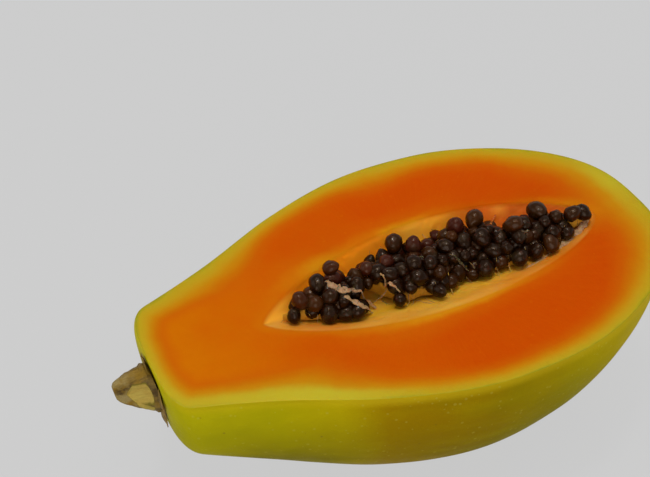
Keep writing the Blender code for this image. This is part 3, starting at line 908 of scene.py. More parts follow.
def pulp_colour(tree, place, x):
    """The flesh between its two bands: paler in the neck, redder in the round end."""
    pulp = mixed(tree, soft_step(tree, x, *NECK_SPAN), FLESH_DEEP, NECK_COLOUR)
    pulp = mixed(tree, soft_step(tree, x, *ROUND_END_SPAN), pulp, FLESH_RED)
    pulp = laid_over(tree, pulp, use(tree, PATCHES, place, *PULP_CLOUDS), *PULP_CLOUD_PAINT)
    spoke = vector_maths(tree, "MULTIPLY", attribute(tree, "spoke", "Vector"), FIBRE_STRETCH)
    pulp = laid_over(tree, pulp, use(tree, PATCHES, spoke, *FIBRES), *FIBRE_PAINT)
    return laid_over(tree, pulp, use(tree, SPECKS, place, *FLESH_DOTS), *DOT_PAINT)


def wall_colour(tree, place, x, hollow):
    """The lining: a ramp along each side of the hollow, and the bare knot."""
    start, end = (ORIGIN[0] + tip[0] for tip in (CAVITY_START, CAVITY_END))
    along = add(tree, "ShaderNodeMapRange", {"Value": x, "From Min": start, "From Max": end})
    near, far = (ramp(tree, along.outputs["Result"], wall) for wall in (NEAR_WALL, FAR_WALL_WITH_PAINTED_LIGHT))
    wall = mixed(tree, soft_step(tree, hollow, *DEEP_SPAN), near, DEEP_COLOUR)
    blotches = use(tree, PATCHES, along_ribs(tree, place, WALL_SQUEEZE), *WALL_BLOTCHES)
    wall = laid_over(tree, wall, blotches, *WALL_PAINT)
    # The far side's ramp carries painted light against the hollow's shade.
    wall = mixed(tree, soft_step(tree, attribute(tree, "across"), *FAR_SIDE_SPAN), wall, far)
    return mixed(tree, ring_mask(tree, place, KNOT_MIDDLE, 0.0, KNOT_RADIUS), wall, KNOT_COLOUR)


def flesh_colour(tree, place):
    hollow, x = attribute(tree, "hollow"), split(tree, place)["X"]
    waver = use(tree, PATCHES, place, *WAVER)
    rind = wavered(tree, attribute(tree, "rind"), waver, RIND_SHIFT)
    edge = laid_over(tree, ramp(tree, rind, RIND), attribute(tree, "unripe"),
                     soft_step(tree, rind, *UNRIPE_SPAN), UNRIPE_COLOUR)
    colour = mixed(tree, soft_step(tree, rind, *RIND_SPAN), edge, pulp_colour(tree, place, x))
    beyond = wavered(tree, hollow, waver, HALO_SHIFT)
    halo, fade = (soft_step(tree, beyond, *span) for span in (HALO_SPAN, FADE_SPAN))
    colour = laid_over(tree, colour, maths(tree, "ADD", halo, fade), attribute(tree, "gold"),
                       HALO_GOLD)
    wall = wall_colour(tree, place, x, hollow)
    return mixed(tree, soft_step(tree, hollow, *WALL_SPAN), colour, wall)


def flesh_material():
    made, tree, shader, place = material("flesh", FLESH_FINISH)
    wet = use(tree, PATCHES, place, *FLESH_JUICE)
    bumps = use(tree, GRAIN, place, *FLESH_BUMPS)
    fill(tree, shader, {"Base Color": flesh_colour(tree, place),
                        "Roughness": soft_step(tree, wet, 0, 1, *FLESH_ROUGHNESS),
                        "Normal": use(tree, GRAIN, place, *FLESH_GRAIN, Normal=bumps)})
    return made


flesh = flesh_material()
fruit_mesh.materials.append(skin)
fruit_mesh.materials.append(flesh)
ring_of_face = np.array([p.vertices[0] // RAYS for p in fruit_mesh.polygons])
is_flesh = ring_of_face > len(below)
is_flesh[-2 * RAYS:-RAYS] = False
fruit_mesh.polygons.foreach_set("material_index", is_flesh.astype(np.int32))
print("flesh faces:", int(is_flesh.sum()), "skin faces:", int((~is_flesh).sum()))

# %% [markdown]
# ## Take the solid's place
#
# `replaces` hides the plain solid, which goes on colliding, and `ride` ties the piece
# to the body. A part without joints has one body, which is called root.

# %% The fruit rides


def finish_piece(obj, slot, *nodes):
    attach(obj, "root")
    if nodes:
        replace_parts(obj, *nodes)


finish_piece(fruit, "fruit", "fruit_half")
print(fruit.name, "stands for", list(fruit["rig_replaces"]))

# %% [markdown]
# ## Where each seed lies
#
# The plain heap was made by dropping seeds one after another, each to rest on what
# was already there, half sunk in a core. Dropping them again with the same draws puts
# every finer seed where its plain one is. A drop is kept as a middle, a size and a
# turn, and the shape of a seed comes later.

# %% Rule of the heap
HEAP_SPAN = (0.055, 0.975)
HEAP_NEAR_EDGE = (-0.05, -0.36, -0.50, -0.06, -0.48, -0.56, -0.30, -0.48, -0.60, -0.61,
                  -0.47, -0.30)
HEAP_FAR_EDGE = (0.25, 0.62, 0.74, 0.58, 0.80, 0.72, 0.70, 0.80, 0.52, 0.56, 0.38, 0.05)
CORE_INSET, CORE_THICKNESS, CORE_HEIGHT, CORE_CROWN = 0.12, 0.0012, 0.0115, 0.7
CLEAR_OF_FLESH, NO_CORE = 0.0008, -1.0


def along_heap(s):
    """From 0 to 1 along the heap, of the places at s along the hollow."""
    start, end = HEAP_SPAN
    return (s - start) / (end - start)


def heap_edges(along):
    """(s, near q, far q) of the heap, with along from 0 to 1 from end to end."""
    start, end = HEAP_SPAN
    return (start + (end - start) * along, spread(HEAP_NEAR_EDGE, along),
            spread(HEAP_FAR_EDGE, along))


def core_edges(along):
    s, near, far = heap_edges(along)
    return s, near + CORE_INSET, far - CORE_INSET


def core_height(s, across):
    crown = np.sin(math.pi * across) ** CORE_CROWN
    return CORE_THICKNESS + CORE_HEIGHT * cavity_share(s) * crown


def lining_point(s, q, lift=0.0):
    """A point of the hollow's lining, or above it by lift."""
    x, y = cavity_axis(s)
    share = cavity_share(s)
    return (x, y + q * CAVITY_HALF_WIDTH * share, lift - CAVITY_DEPTH * share * cavity_fall(q))


def floor_height(x, y):
    """Height of the flesh: the lining, or the cut face around it."""
    depth, q = hollow_depth(x, y)
    return np.where(np.abs(q) > 1, 0.0, -depth)


def core_top(x, y):
    """Height of the core's top at (x, y), or far below where there is no core."""
    s = along_cavity(x)
    if not 0 < along_heap(s) < 1:
        return NO_CORE
    _, near, far = core_edges(along_heap(s))
    depth, q = hollow_depth(x, y)
    if not near < q < far:
        return NO_CORE
    return CLEAR_OF_FLESH - depth + core_height(s, (q - near) / (far - near))


print("core top in the middle:", round(1000 * float(core_top(*HUB)), 2), "mm")

# %% [markdown]
# ## Drop them again
#
# Three kinds of draw fill the heap: seeds that are listed along the near edge and on
# the crown, where their places show, and many that fall anywhere between the edges and
# stay if they don't pile too high. Smaller ones fill up what is left.

# %% Drop the seeds
SEED_HALF_AXES = (0.0039, 0.0033, 0.0031)
SEED_SIZE_SPREAD, SEED_SIDES, SEED_BANDS = 0.12, 7, 4
SEED_OVERLAP, SEED_SINK, SEED_PILE = 0.80, 0.60, 0.0040
SEED_TRIES, SMALL_SEED_TRIES, SMALL_SEED_SIZE = 900, 350, 0.76
CROWN_CEILING = 0.0075
SEED_DRAW = 5
EDGE_SEEDS = ((0.0560, 0.0020, 0.85), (0.0680, -0.0034, 1.1), (0.0738, -0.0052, 1.0),
              (0.0785, -0.0070, 0.95), (0.0960, -0.0085, 0.8), (0.1020, -0.0060, 0.85),
              (0.1117, -0.0122, 0.9), (0.1245, -0.0063, 1.1), (0.1340, -0.0114, 1.1),
              (0.1472, -0.0147, 1.1), (0.1617, -0.0153, 1.0), (0.1722, -0.0123, 0.95))
CROWN_SEEDS = ((0.0688, 0.0078, 1.0), (0.0768, 0.0115, 0.9), (0.1062, 0.0135, 1.1),
               (0.1120, 0.0085, 1.0), (0.1320, 0.0088, 1.1), (0.1405, 0.0080, 1.1),
               (0.1502, -0.0042, 1.1), (0.1649, -0.0012, 1.2))


def plain_outline(size, turn):
    """The points of one plain seed round its middle."""
    points = [(1, 0, 0), (-1, 0, 0)]
    for band in range(1, SEED_BANDS):
        polar = math.pi * band / SEED_BANDS
        for side in range(SEED_SIDES):
            a = 2 * math.pi * side / SEED_SIDES
            points.append((math.cos(polar), math.sin(polar) * math.cos(a),
                           math.sin(polar) * math.sin(a)))
    return np.array(points) * SEED_HALF_AXES * size @ np.array(turn).T


def rest_height(x, y, size, outline, placed):
    """Where a seed stops: on the lining, half sunk in the core, or on other seeds."""
    radius = SEED_HALF_AXES[1] * size
    floor = floor_height(x + outline[:, 0], y + outline[:, 1]) + CLEAR_OF_FLESH
    height = max(core_top(x, y) + radius * (1 - SEED_SINK), (floor - outline[:, 2]).max())
    for other in placed:
        touch = SEED_OVERLAP * (radius + SEED_HALF_AXES[1] * other["size"])
        apart = math.hypot(x - other["middle"][0], y - other["middle"][1])
        if apart < touch:
            height = max(height, other["middle"][2] + math.sqrt(touch ** 2 - apart ** 2))
    return height


def drop(draw, placed, x, y, size, ceiling):
    """Drops a seed at (x, y), unless it would come to rest above the ceiling."""
    turn = Euler([draw.uniform(0, 2 * math.pi) for _ in range(3)])
    height = rest_height(x, y, size, plain_outline(size, turn.to_matrix()), placed)
    if height < ceiling:
        placed.append({"middle": (x, y, height), "size": size, "turn": tuple(turn)})


def scatter(draw, placed, tries, typical_size):
    for _ in range(tries):
        s, near, far = heap_edges(draw.random())
        x, y, z = lining_point(s, near + (far - near) * draw.random())
        size = typical_size * (1 + SEED_SIZE_SPREAD * draw.uniform(-1, 1))
        drop(draw, placed, x, y, size, max(core_top(x, y), z + CORE_THICKNESS) + SEED_PILE)


def drop_all():
    draw = random.Random(SEED_DRAW)
    placed = []
    for x, y, size in EDGE_SEEDS:
        drop(draw, placed, x, y, size, CROWN_CEILING)
    scatter(draw, placed, SEED_TRIES, 1.0)
    for x, y, size in CROWN_SEEDS:
        drop(draw, placed, x, y, size, CROWN_CEILING)
    scatter(draw, placed, SMALL_SEED_TRIES, SMALL_SEED_SIZE)
    return placed


SEEDS = drop_all()
highest = max(seed["middle"][2] for seed in SEEDS)
print(len(SEEDS), "seeds, the highest with its middle at", round(1000 * highest, 1), "mm")

# %% [markdown]
# ## Tools for Geometry Nodes
#
# A Geometry Nodes tree is a recipe that can be read and changed: points in, seeds out.
# `recipe` opens one with named inputs, and `cook` hangs it on an object, sets those
# inputs by the sockets' identifiers, takes the result as a plain mesh and removes the
# modifier again, because the finished piece has to be an ordinary mesh.

# %% Recipe and cook


def recipe(name, inputs):
    """A new Geometry Nodes tree: itself, its given sockets and its result socket."""
    tree = bpy.data.node_groups.new(name, "GeometryNodeTree")
    for label, kind in {"Geometry": "Geometry", **inputs}.items():
        tree.interface.new_socket(label, in_out="INPUT", socket_type="NodeSocket" + kind)
    tree.interface.new_socket("Geometry", in_out="OUTPUT", socket_type="NodeSocketGeometry")
    given = tree.nodes.new("NodeGroupInput").outputs
    return tree, given, tree.nodes.new("NodeGroupOutput").inputs["Geometry"]


def named(tree, name, kind="FLOAT"):
    return add(tree, "GeometryNodeInputNamedAttribute", {"Name": name},
               data_type=kind).outputs["Attribute"]


def store(tree, geometry, name, kind, value):
    return add(tree, "GeometryNodeStoreNamedAttribute",
               {"Geometry": geometry, "Name": name, "Value": value},
               data_type=kind, domain="POINT").outputs["Geometry"]


def shaped(tree, kind, geometry, inputs=None):
    """What a node that takes a Geometry makes of it."""
    return add(tree, kind, {"Geometry": geometry, **(inputs or {})}).outputs["Geometry"]


def random_value(tree, low, high, seed):
    return add(tree, "FunctionNodeRandomValue", {2: low, 3: high, "Seed": seed},
               data_type="FLOAT").outputs[1]


def scaled(tree, vector, factor):
    """A vector times a number, which is the Scale operation's fourth socket."""
    return add(tree, "ShaderNodeVectorMath", {0: vector, 3: factor},
               operation="SCALE").outputs["Vector"]


def cook(obj, tree, **values):
    """Runs a recipe on an object and leaves the result as the object's own mesh."""
    modifier = obj.modifiers.new(tree.name, "NODES")
    modifier.node_group = tree
    identifiers = {item.name.replace(" ", "_").lower(): item.identifier
                   for item in tree.interface.items_tree if item.in_out == "INPUT"}
    for label, value in values.items():
        modifier[identifiers[label]] = value
    graph = bpy.context.evaluated_depsgraph_get()
    mesh = bpy.data.meshes.new_from_object(obj.evaluated_get(graph))
    obj.modifiers.remove(modifier)
    mesh.name = obj.name
    obj.data = mesh
    return mesh


print("ready to cook")

# %% [markdown]
# ## One seed in its coat
#
# A papaya seed is an egg of 6 to 8 mm with a wrinkled skin, inside a clear wet coat
# that bridges most of the wrinkles. The shape starts as an ico sphere, because its
# triangles are even and it has no poles. Its unit place is stored as `seed_spot`
# before it is stretched, so that every copy wrinkles in its own frame.

# %% Recipe for a seed
SEED_DETAIL, BED_SEED_DETAIL = 3, 2
SEED_TAPER, TINT_SHIFT = 0.17, 50.0
SEED_WRINKLE, WRINKLE_NOISE, WRINKLE_GAIN = 0.00030, (1.9, 1.5, 0.6), 4.0


def seed_group():
    """A group that puts one egg on each point, by its turn, size and tint."""
    tree, given, result = recipe("coated_seed", {
        "Half axes": "Vector", "Taper": "Float", "Detail": "Int", "Wrinkle": "Float"})
    ball = add(tree, "GeometryNodeMeshIcoSphere", {"Radius": 1.0, "Subdivisions": given["Detail"]})
    place = add(tree, "GeometryNodeInputPosition").outputs["Position"]
    ball = store(tree, ball.outputs["Mesh"], "seed_spot", "FLOAT_VECTOR", place)
    part = split(tree, place)
    slim = maths(tree, "SUBTRACT", 1.0, maths(tree, "MULTIPLY", part["X"], given["Taper"]))
    egg = add(tree, "ShaderNodeCombineXYZ", {
        "X": part["X"], "Y": maths(tree, "MULTIPLY", part["Y"], slim),
        "Z": maths(tree, "MULTIPLY", part["Z"], slim)}).outputs["Vector"]
    egg = vector_maths(tree, "MULTIPLY", egg, given["Half axes"])
    seeds = add(tree, "GeometryNodeInstanceOnPoints", {
        "Points": given["Geometry"], "Rotation": named(tree, "turn", "FLOAT_VECTOR"),
        "Instance": shaped(tree, "GeometryNodeSetPosition", ball, {"Position": egg}),
        "Scale": named(tree, "size")}).outputs["Instances"]
    seeds = shaped(tree, "GeometryNodeRealizeInstances", seeds)
    own = maths(tree, "MULTIPLY", named(tree, "tint"), TINT_SHIFT)
    own = add(tree, "ShaderNodeCombineXYZ", {"X": own}).outputs["Vector"]
    spot = vector_maths(tree, "ADD", named(tree, "seed_spot", "FLOAT_VECTOR"), own)
    wrinkle = cloud(tree, spot, *WRINKLE_NOISE)["Fac"]
    lift = maths(tree, "MULTIPLY", given["Wrinkle"], maths(tree, "SUBTRACT", wrinkle, 0.5))
    normal = add(tree, "GeometryNodeInputNormal").outputs["Normal"]
    offset = scaled(tree, normal, maths(tree, "MULTIPLY", lift, WRINKLE_GAIN))
    seeds = shaped(tree, "GeometryNodeSetPosition", seeds, {"Offset": offset})
    tree.links.new(shaped(tree, "GeometryNodeSetShadeSmooth", seeds), result)
    return tree


SEED_GROUP = seed_group()
print(SEED_GROUP.name, "has", len(SEED_GROUP.nodes), "nodes")

# %% [markdown]
# ## The heap: seeds on seeds on a bed
#
# One vertex stands for each dropped seed and carries its turn, size and tint. Under
# them lies the bed: the heap's core, whose dark pulp stands for deeper seeds and is
# painted shade between them, and smaller seeds that are spread over it by Distribute
# Points on Faces. That node keeps them a set distance apart and, with a fixed seed,
# gives the same bed each time. `firm` is 0 at the bed's rim, which keeps small seeds
# off it. In two bays of the near edge and at the tip by the stalk some seeds fell out.
# They are left out here, and the bed is drawn back in the two bays, so that the wall
# shows.

# %% Seed heap
BED_STEPS_ALONG, BED_STEPS_ACROSS = 70, 20
BED_SUNK, BED_RIM = 0.0006, 0.0030
BED_APART, BED_SEED_SIZE, BED_FIRM = 0.0042, (0.80, 1.08), 0.45
BED_CROWDED, BED_UPPER, FULL_TURNS = 1.0e6, 0.05, (6.28, 6.28, 6.28)
BED_DRAW, TINT_DRAW = 11, 3
BAYS = (((0.0905, -0.0035), (0.0060, 0.0065), 0.30),
        ((0.1066, -0.0117), (0.0035, 0.0030), 0.12),
        ((0.0539, 0.0037), (0.0015, 0.0012), 0.0))
DARKEST_TINT_SPAN, FAR_TINT, FAR_TINT_FROM = 0.76, (0.52, 0.50), 0.60
BROWN_END, BROWN_END_TINT = 0.084, 0.14


def close_sheets(bm, low, high):
    """Faces of the solid between two grids of vertices of the same size."""
    strips = list(zip(low, low[1:])) + list(zip(high, high[1:]))
    strips += [(low[0], high[0]), (low[-1], high[-1])]
    for side in (0, -1):
        strips.append(([row[side] for row in low], [row[side] for row in high]))
    for a, b in strips:
        for j in range(len(a) - 1):
            bm.faces.new((a[j], a[j + 1], b[j + 1], b[j]))


def face_outwards(bm, mesh):
    """Turns all faces outwards and hands the result to a mesh."""
    bmesh.ops.recalc_face_normals(bm, faces=bm.faces)
    bm.to_mesh(mesh)
    bm.free()
    mesh.shade_smooth()


def shells(name, sheets):
    """A mesh of the closed solids between pairs of sheets, which are grids of points."""
    bm = bmesh.new()
    for pair in sheets:
        low, high = ([[bm.verts.new(Vector(p) + Vector(ORIGIN)) for p in row] for row in sheet]
                     for sheet in pair)
        close_sheets(bm, low, high)
    mesh = bpy.data.meshes.new(name)
    face_outwards(bm, mesh)
    return mesh


def bay_depth(s):
    """How far the bed's near edge is drawn back where the lining shows in a bay."""
    x, _ = cavity_axis(s)
    return sum(depth * np.exp(-((x - middle[0]) / half[0]) ** 2) for middle, half, depth in BAYS)


def core_mesh():
    """The core as a closed solid between the lining and its own rounded top."""
    along = np.arange(BED_STEPS_ALONG + 1)[:, None] / BED_STEPS_ALONG
    across = np.arange(BED_STEPS_ACROSS + 1)[None] / BED_STEPS_ACROSS
    s, near, far = core_edges(along)
    near = near + bay_depth(s)
    q = near + (far - near) * across
    low = np.stack(np.broadcast_arrays(*lining_point(s, q, CLEAR_OF_FLESH)), axis=-1)
    thick = np.maximum(core_height(s, across) - BED_SUNK, CORE_THICKNESS / 2)
    high = low + np.stack(np.broadcast_arrays(0, 0, thick), axis=-1)
    breadth = (far - near) * CAVITY_HALF_WIDTH * cavity_share(s)
    from_side = breadth * np.minimum(across, 1 - across)
    from_end = np.minimum(along, 1 - along) * (CAVITY_END[0] - CAVITY_START[0])
    firm = np.minimum(from_side, from_end) / BED_RIM
    mesh = shells("seed_bed", [(low, high)])
    put(mesh, "firm", np.clip(np.tile(firm.ravel(), 2), 0, 1))
    return mesh


def eggs_on(tree, given, points):
    """The seeds on the points, in their coats."""
    seeds = add(tree, "GeometryNodeGroup", {
        "Geometry": points, "Half axes": given["Half axes"], "Taper": SEED_TAPER,
        "Detail": given["Detail"], "Wrinkle": given["Wrinkle"]}, node_tree=SEED_GROUP)
    return shaped(tree, "GeometryNodeSetMaterial", seeds.outputs["Geometry"],
                  {"Material": given["Material"]})


EGG_INPUTS = {"Half axes": "Vector", "Detail": "Int", "Wrinkle": "Float", "Material": "Material"}


def heap_recipe():
    """The seeds on the given points."""
    tree, given, result = recipe("heap_of_seeds", EGG_INPUTS)
    tree.links.new(eggs_on(tree, given, given["Geometry"]), result)
    return tree


def bed_recipe():
    """The core itself, and small seeds that stand out of its upper side."""
    tree, given, result = recipe("bed_of_seeds", {
        "Apart": "Float", "Firm": "Float", "Smallest": "Float", "Largest": "Float",
        "Draw": "Int", "Pulp": "Material", **EGG_INPUTS})
    normal = add(tree, "GeometryNodeInputNormal").outputs["Normal"]
    upper = maths(tree, "GREATER_THAN", split(tree, normal)["Z"], BED_UPPER)
    firm = maths(tree, "GREATER_THAN", named(tree, "firm"), given["Firm"])
    dots = add(tree, "GeometryNodeDistributePointsOnFaces", {
        "Mesh": given["Geometry"], "Selection": maths(tree, "MULTIPLY", upper, firm),
        "Distance Min": given["Apart"], "Density Max": BED_CROWDED, "Seed": given["Draw"]},
        distribute_method="POISSON").outputs["Points"]
    turn = add(tree, "FunctionNodeRandomValue", {0: (0, 0, 0), 1: FULL_TURNS, "Seed": 1},
               data_type="FLOAT_VECTOR").outputs[0]
    dots = store(tree, dots, "turn", "FLOAT_VECTOR", turn)
    size = random_value(tree, given["Smallest"], given["Largest"], 2)
    dots = store(tree, dots, "size", "FLOAT", size)
    dots = store(tree, dots, "tint", "FLOAT", random_value(tree, 0.0, DARKEST_TINT_SPAN, 3))
    core = shaped(tree, "GeometryNodeSetMaterial", given["Geometry"], {"Material": given["Pulp"]})
    both = add(tree, "GeometryNodeJoinGeometry")
    for geometry in (core, eggs_on(tree, given, dots)):
        tree.links.new(geometry, both.inputs["Geometry"])
    tree.links.new(both.outputs["Geometry"], result)
    return tree


def tint_at(x, y, draw):
    """0 for a black seed to 1 for a red one, which only lie by the far edge."""
    along = float(np.clip(along_heap(along_cavity(x)), 0, 1))
    _, near, far = heap_edges(along)
    share = (float(hollow_depth(x, y)[1]) - near) / (far - near)
    if share < FAR_TINT_FROM:
        return draw.random() * DARKEST_TINT_SPAN + (BROWN_END_TINT if x < BROWN_END else 0)
    return FAR_TINT[0] + FAR_TINT[1] * draw.random()


def outside_bays(x, y):
    offs = [(np.array((x, y)) - middle) / half for middle, half, _ in BAYS]
    return all(float(off @ off) > 1 for off in offs)


def seed_points():
    """A mesh of loose vertices, one for each dropped seed that doesn't hide a bay."""
    seeds = [seed for seed in SEEDS if outside_bays(*seed["middle"][:2])]
    print("seeds:", len(seeds), "of", len(SEEDS), "dropped ones")
    mesh = bpy.data.meshes.new("seed_points")
    mesh.from_pydata([tuple(np.array(seed["middle"]) + ORIGIN) for seed in seeds], [], [])
    draw = random.Random(TINT_DRAW)
    put(mesh, "turn", [seed["turn"] for seed in seeds])
    put(mesh, "size", [seed["size"] for seed in seeds])
    put(mesh, "tint", [tint_at(*seed["middle"][:2], draw) for seed in seeds])
    return mesh


print("bare places in the heap:", len(BAYS), "and bed seeds at least", 1000 * BED_APART, "mm apart")

# %% [markdown]
# ## Seed coat and pulp
#
# A fresh seed is black to red-brown under a clear film of jelly. The film is the
# material's coat: smooth, so that each seed carries a small glint, over a rough dark
# skin. `tint` differs from seed to seed and goes from black through brown to maroon,
# red veins show through, and dull grey patches are dried jelly and painted sheen. The
# pulp between them is dark, standing for deeper seeds and painted shade between them,
# with paler shreds, and it frays to tan at its rim, where it meets the wall.

# %% Seed materials
SEED_BLACK, SEED_BROWN = (0.0090, 0.0026, 0.0005), (0.0370, 0.0100, 0.0010)
SEED_MAROON = (0.0380, 0.0058, 0.0026)
SEED_TINTS = ((0.0, SEED_BLACK), (0.60, SEED_BLACK), (0.82, SEED_BROWN),
              (0.97, SEED_MAROON), (1.0, SEED_MAROON))
SEED_VEINS, VEIN_PAINT = (2.6, 0.36, 0.10), (0.55, (0.0680, 0.0080, 0.0020))
SEED_DUST_AND_SHEEN, DUST_AND_SHEEN_PAINT = (190.0, 0.36, 0.12), (0.38, (0.0480, 0.0330, 0.0140))
SEED_ROUGHNESS, SEED_GRAIN = (0.20, 0.45), (900.0, 0.00022)
SEED_FINISH = {"Specular IOR Level": 0.14, "Specular Tint": (1.0, 0.62, 0.32, 1.0),
               "Coat Weight": 0.16, "Coat Roughness": 0.10}
# The core's dark stands for deeper seeds and is painted shade between the seeds; the tan is its
# rim.
PULP_DARK_AND_PAINTED_SHADE, PULP_TAN = (0.0070, 0.0035, 0.0012), (0.5600, 0.2600, 0.0200)
PULP_SHREDS, SHRED_PAINT = (260.0, 0.34, 0.12), (0.6, (0.0900, 0.0420, 0.0150))
PULP_FRAYS, FRAY_SHIFT, FIRM_SPAN = (420.0, 0.50, 0.30), 0.2, (0.35, 0.75)
PULP_ROUGHNESS, PULP_GRAIN = (0.45, 0.7), (600.0, 0.0008)
PULP_FINISH = {"Specular IOR Level": 0.10}


def seed_material():
    made, tree, shader, place = material("seed_coat", SEED_FINISH)
    colour = ramp(tree, attribute(tree, "tint"), SEED_TINTS)
    veins = use(tree, PATCHES, attribute(tree, "seed_spot", "Vector"), *SEED_VEINS)
    dust_and_sheen = use(tree, PATCHES, place, *SEED_DUST_AND_SHEEN)
    # Grey patches: dried jelly, and painted sheen of the wet coat.
    colour = laid_over(tree, laid_over(tree, colour, veins, *VEIN_PAINT), dust_and_sheen, *DUST_AND_SHEEN_PAINT)
    fill(tree, shader, {"Base Color": colour,
                        "Roughness": soft_step(tree, dust_and_sheen, 0, 1, *SEED_ROUGHNESS),
                        "Normal": use(tree, GRAIN, place, *SEED_GRAIN)})
    return made


def pulp_material():
    made, tree, shader, place = material("seed_pulp", PULP_FINISH)
    shreds, frays = (use(tree, PATCHES, place, *numbers) for numbers in (PULP_SHREDS, PULP_FRAYS))
    # Dark pulp: deeper seeds, and painted shade between the seeds.
    colour = laid_over(tree, PULP_DARK_AND_PAINTED_SHADE, shreds, *SHRED_PAINT)
    firm = wavered(tree, attribute(tree, "firm"), frays, FRAY_SHIFT)
    colour = mixed(tree, soft_step(tree, firm, *FIRM_SPAN), PULP_TAN, colour)
    fill(tree, shader, {"Base Color": colour,
                        "Roughness": soft_step(tree, shreds, 0, 1, *PULP_ROUGHNESS),
                        "Normal": use(tree, GRAIN, place, *PULP_GRAIN)})
    return made


seed_coat, seed_pulp = seed_material(), pulp_material()
print("seed materials:", seed_coat.name, "and", seed_pulp.name)

# %% [markdown]
# ## Cook the heap and its bed
#
# Both pieces together stand for the plain node, so the boxes printed here should lie
# within a millimetre of its own.

# %% Cook the heap


def print_box(name, low, high):
    print(name, "box:", [tuple(round(float(v), 4) for v in corner) for corner in (low, high)])


seed_heap = put_in_scene("seed_heap", seed_points())
seed_bed = put_in_scene("seed_bed", core_mesh())
eggs = {"half_axes": SEED_HALF_AXES, "wrinkle": SEED_WRINKLE, "material": seed_coat}
cook(seed_heap, heap_recipe(), detail=SEED_DETAIL, **eggs)
cook(seed_bed, bed_recipe(), apart=BED_APART, firm=BED_FIRM, smallest=BED_SEED_SIZE[0],
     largest=BED_SEED_SIZE[1], detail=BED_SEED_DETAIL, draw=BED_DRAW, pulp=seed_pulp, **eggs)
print_box("plain heap", *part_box("seeds"))
for piece in (seed_heap, seed_bed):
    finish_piece(piece, "seeds", "seeds")
    corners = points_of(piece.data)
    print(piece.name, "has", len(piece.data.polygons), "faces")
    print_box(piece.name, corners.min(axis=0), corners.max(axis=0))

# %% [markdown]
# ## Strands that held the seeds
#
# Every seed hung on a thread from the lining, and the same pale tissue lies torn over
# the heap as films. A strand is a path on the plan, in millimetres, with a width and a
# tone. `drape` lays it on whatever is below and pulls it taut over the gaps, so that it
# follows the seeds. Threads and the films at the foot pass under the seeds instead,
# since they are laid on the lining and the bed only. Noise makes the widths ragged,
# and the recipe turns the paths into flat ribbons that waver a little.

# %% Strands
STRAND_STEP, STRAND_LIFT, STRAND_FEWEST, TAUT = 0.5, 0.20, 5, 0.60
STRAND_FLAT, STRAND_WAVER, STRAND_SIDES = 0.22, 0.0009, 8
OVER_ALL, EASED, WAVER_NOISE = 0.03, (0.25, 0.5, 0.25), (420.0, 2.0)
THREADS, THREAD_DRAW, THREAD_WIDTH, THREAD_TONE = 64, 8, (0.16, 0.40), (0.1, 0.6)
THREAD_OUT, THREAD_IN, THREAD_SLANT = (0.02, 0.16), 0.20, 0.014
TAPERED, TAPER_POWER = (0.12, 0.88), 0.6
RAGGED, RAGGED_SIZE = 0.9, 0.0013
FILMS = (
    (0.0, 3.0, ((72.8, 8.1), (73.0, 5.2), (74.2, 2.7), (75.3, 0.1), (77.7, -0.3), (81.2, 0.5))),
    (0.1, 2.2, ((80.0, 0.6), (83.6, -0.8), (86.5, -1.8), (88.5, -4.0))),
    (0.1, 2.4, ((74.6, -3.2), (77.6, -5.1), (78.6, -7.2), (80.1, -8.3), (82.5, -6.8),
                (85.5, -6.2))),
    (0.2, 1.6, ((93.0, 2.0), (94.0, -2.0), (94.9, -4.1), (97.0, -6.5))),
    (0.2, 0.8, ((94.5, -1.8), (91.5, -1.5), (89.5, 0.5))),
    (-0.5, 1.3, ((122.3, -1.9), (124.1, -4.1), (125.9, -6.2), (127.5, -8.8))),
    (-0.5, 1.0, ((108.0, 3.3), (110.7, 3.1), (112.5, 1.5))),
    (-0.4, 1.1, ((150.7, -8.9), (152.5, -9.6), (154.7, -8.7))),
    (1.0, 1.1, ((154.5, 11.0), (152.5, 9.6), (150.5, 8.0), (148.5, 6.2))),
)
FOOT_FILMS = (
    (0.2, 1.3, ((148.0, -18.6), (151.5, -18.4), (156.6, -17.9), (161.4, -16.6))),
    (0.0, 2.6, ((164.5, -16.6), (167.6, -16.3), (170.5, -15.9), (174.0, -15.2))),
    (0.0, 3.0, ((175.0, -14.8), (178.0, -13.6), (181.0, -12.4), (184.5, -10.4), (186.6, -7.6))),
)


def surface_below(surfaces, x, y):
    """Height of the highest thing under (x, y), over the cut face, in metres."""
    start = Vector((x, y, OVER_ALL)) + Vector(ORIGIN)
    hits = [tree.ray_cast(start, Vector((0, 0, -1)))[0] for tree in surfaces]
    return max(hit.z for hit in hits if hit) - ORIGIN[2]


def pulled_taut(lying):
    """The highest line over each stop that joins the stops on both sides of it."""
    stops = range(len(lying))
    return [max(lying[a] + (lying[b] - lying[a]) * (k - a) / max(b - a, 1)
                for a in stops[:k + 1] for b in stops[k:]) for k in stops]


def drape(path, surfaces):
    """Points along a path on the plan, laid on what is below and drawn taut."""
    path = np.array(path)
    run = np.concatenate([[0], np.cumsum(np.hypot(*np.diff(path, axis=0).T))])
    stops = np.linspace(0, run[-1], max(STRAND_FEWEST, int(run[-1] / STRAND_STEP)))
    x, y = (np.interp(stops, run, path[:, k]) / 1000 for k in (0, 1))
    lying = np.array([surface_below(surfaces, *spot) for spot in zip(x, y)])
    z = np.maximum(lying, TAUT * np.array(pulled_taut(lying)) + (1 - TAUT) * lying)
    z = np.convolve(np.pad(z, 1, "edge"), EASED, "valid")
    return np.stack([x, y, z + STRAND_LIFT / 1000], axis=1) + ORIGIN


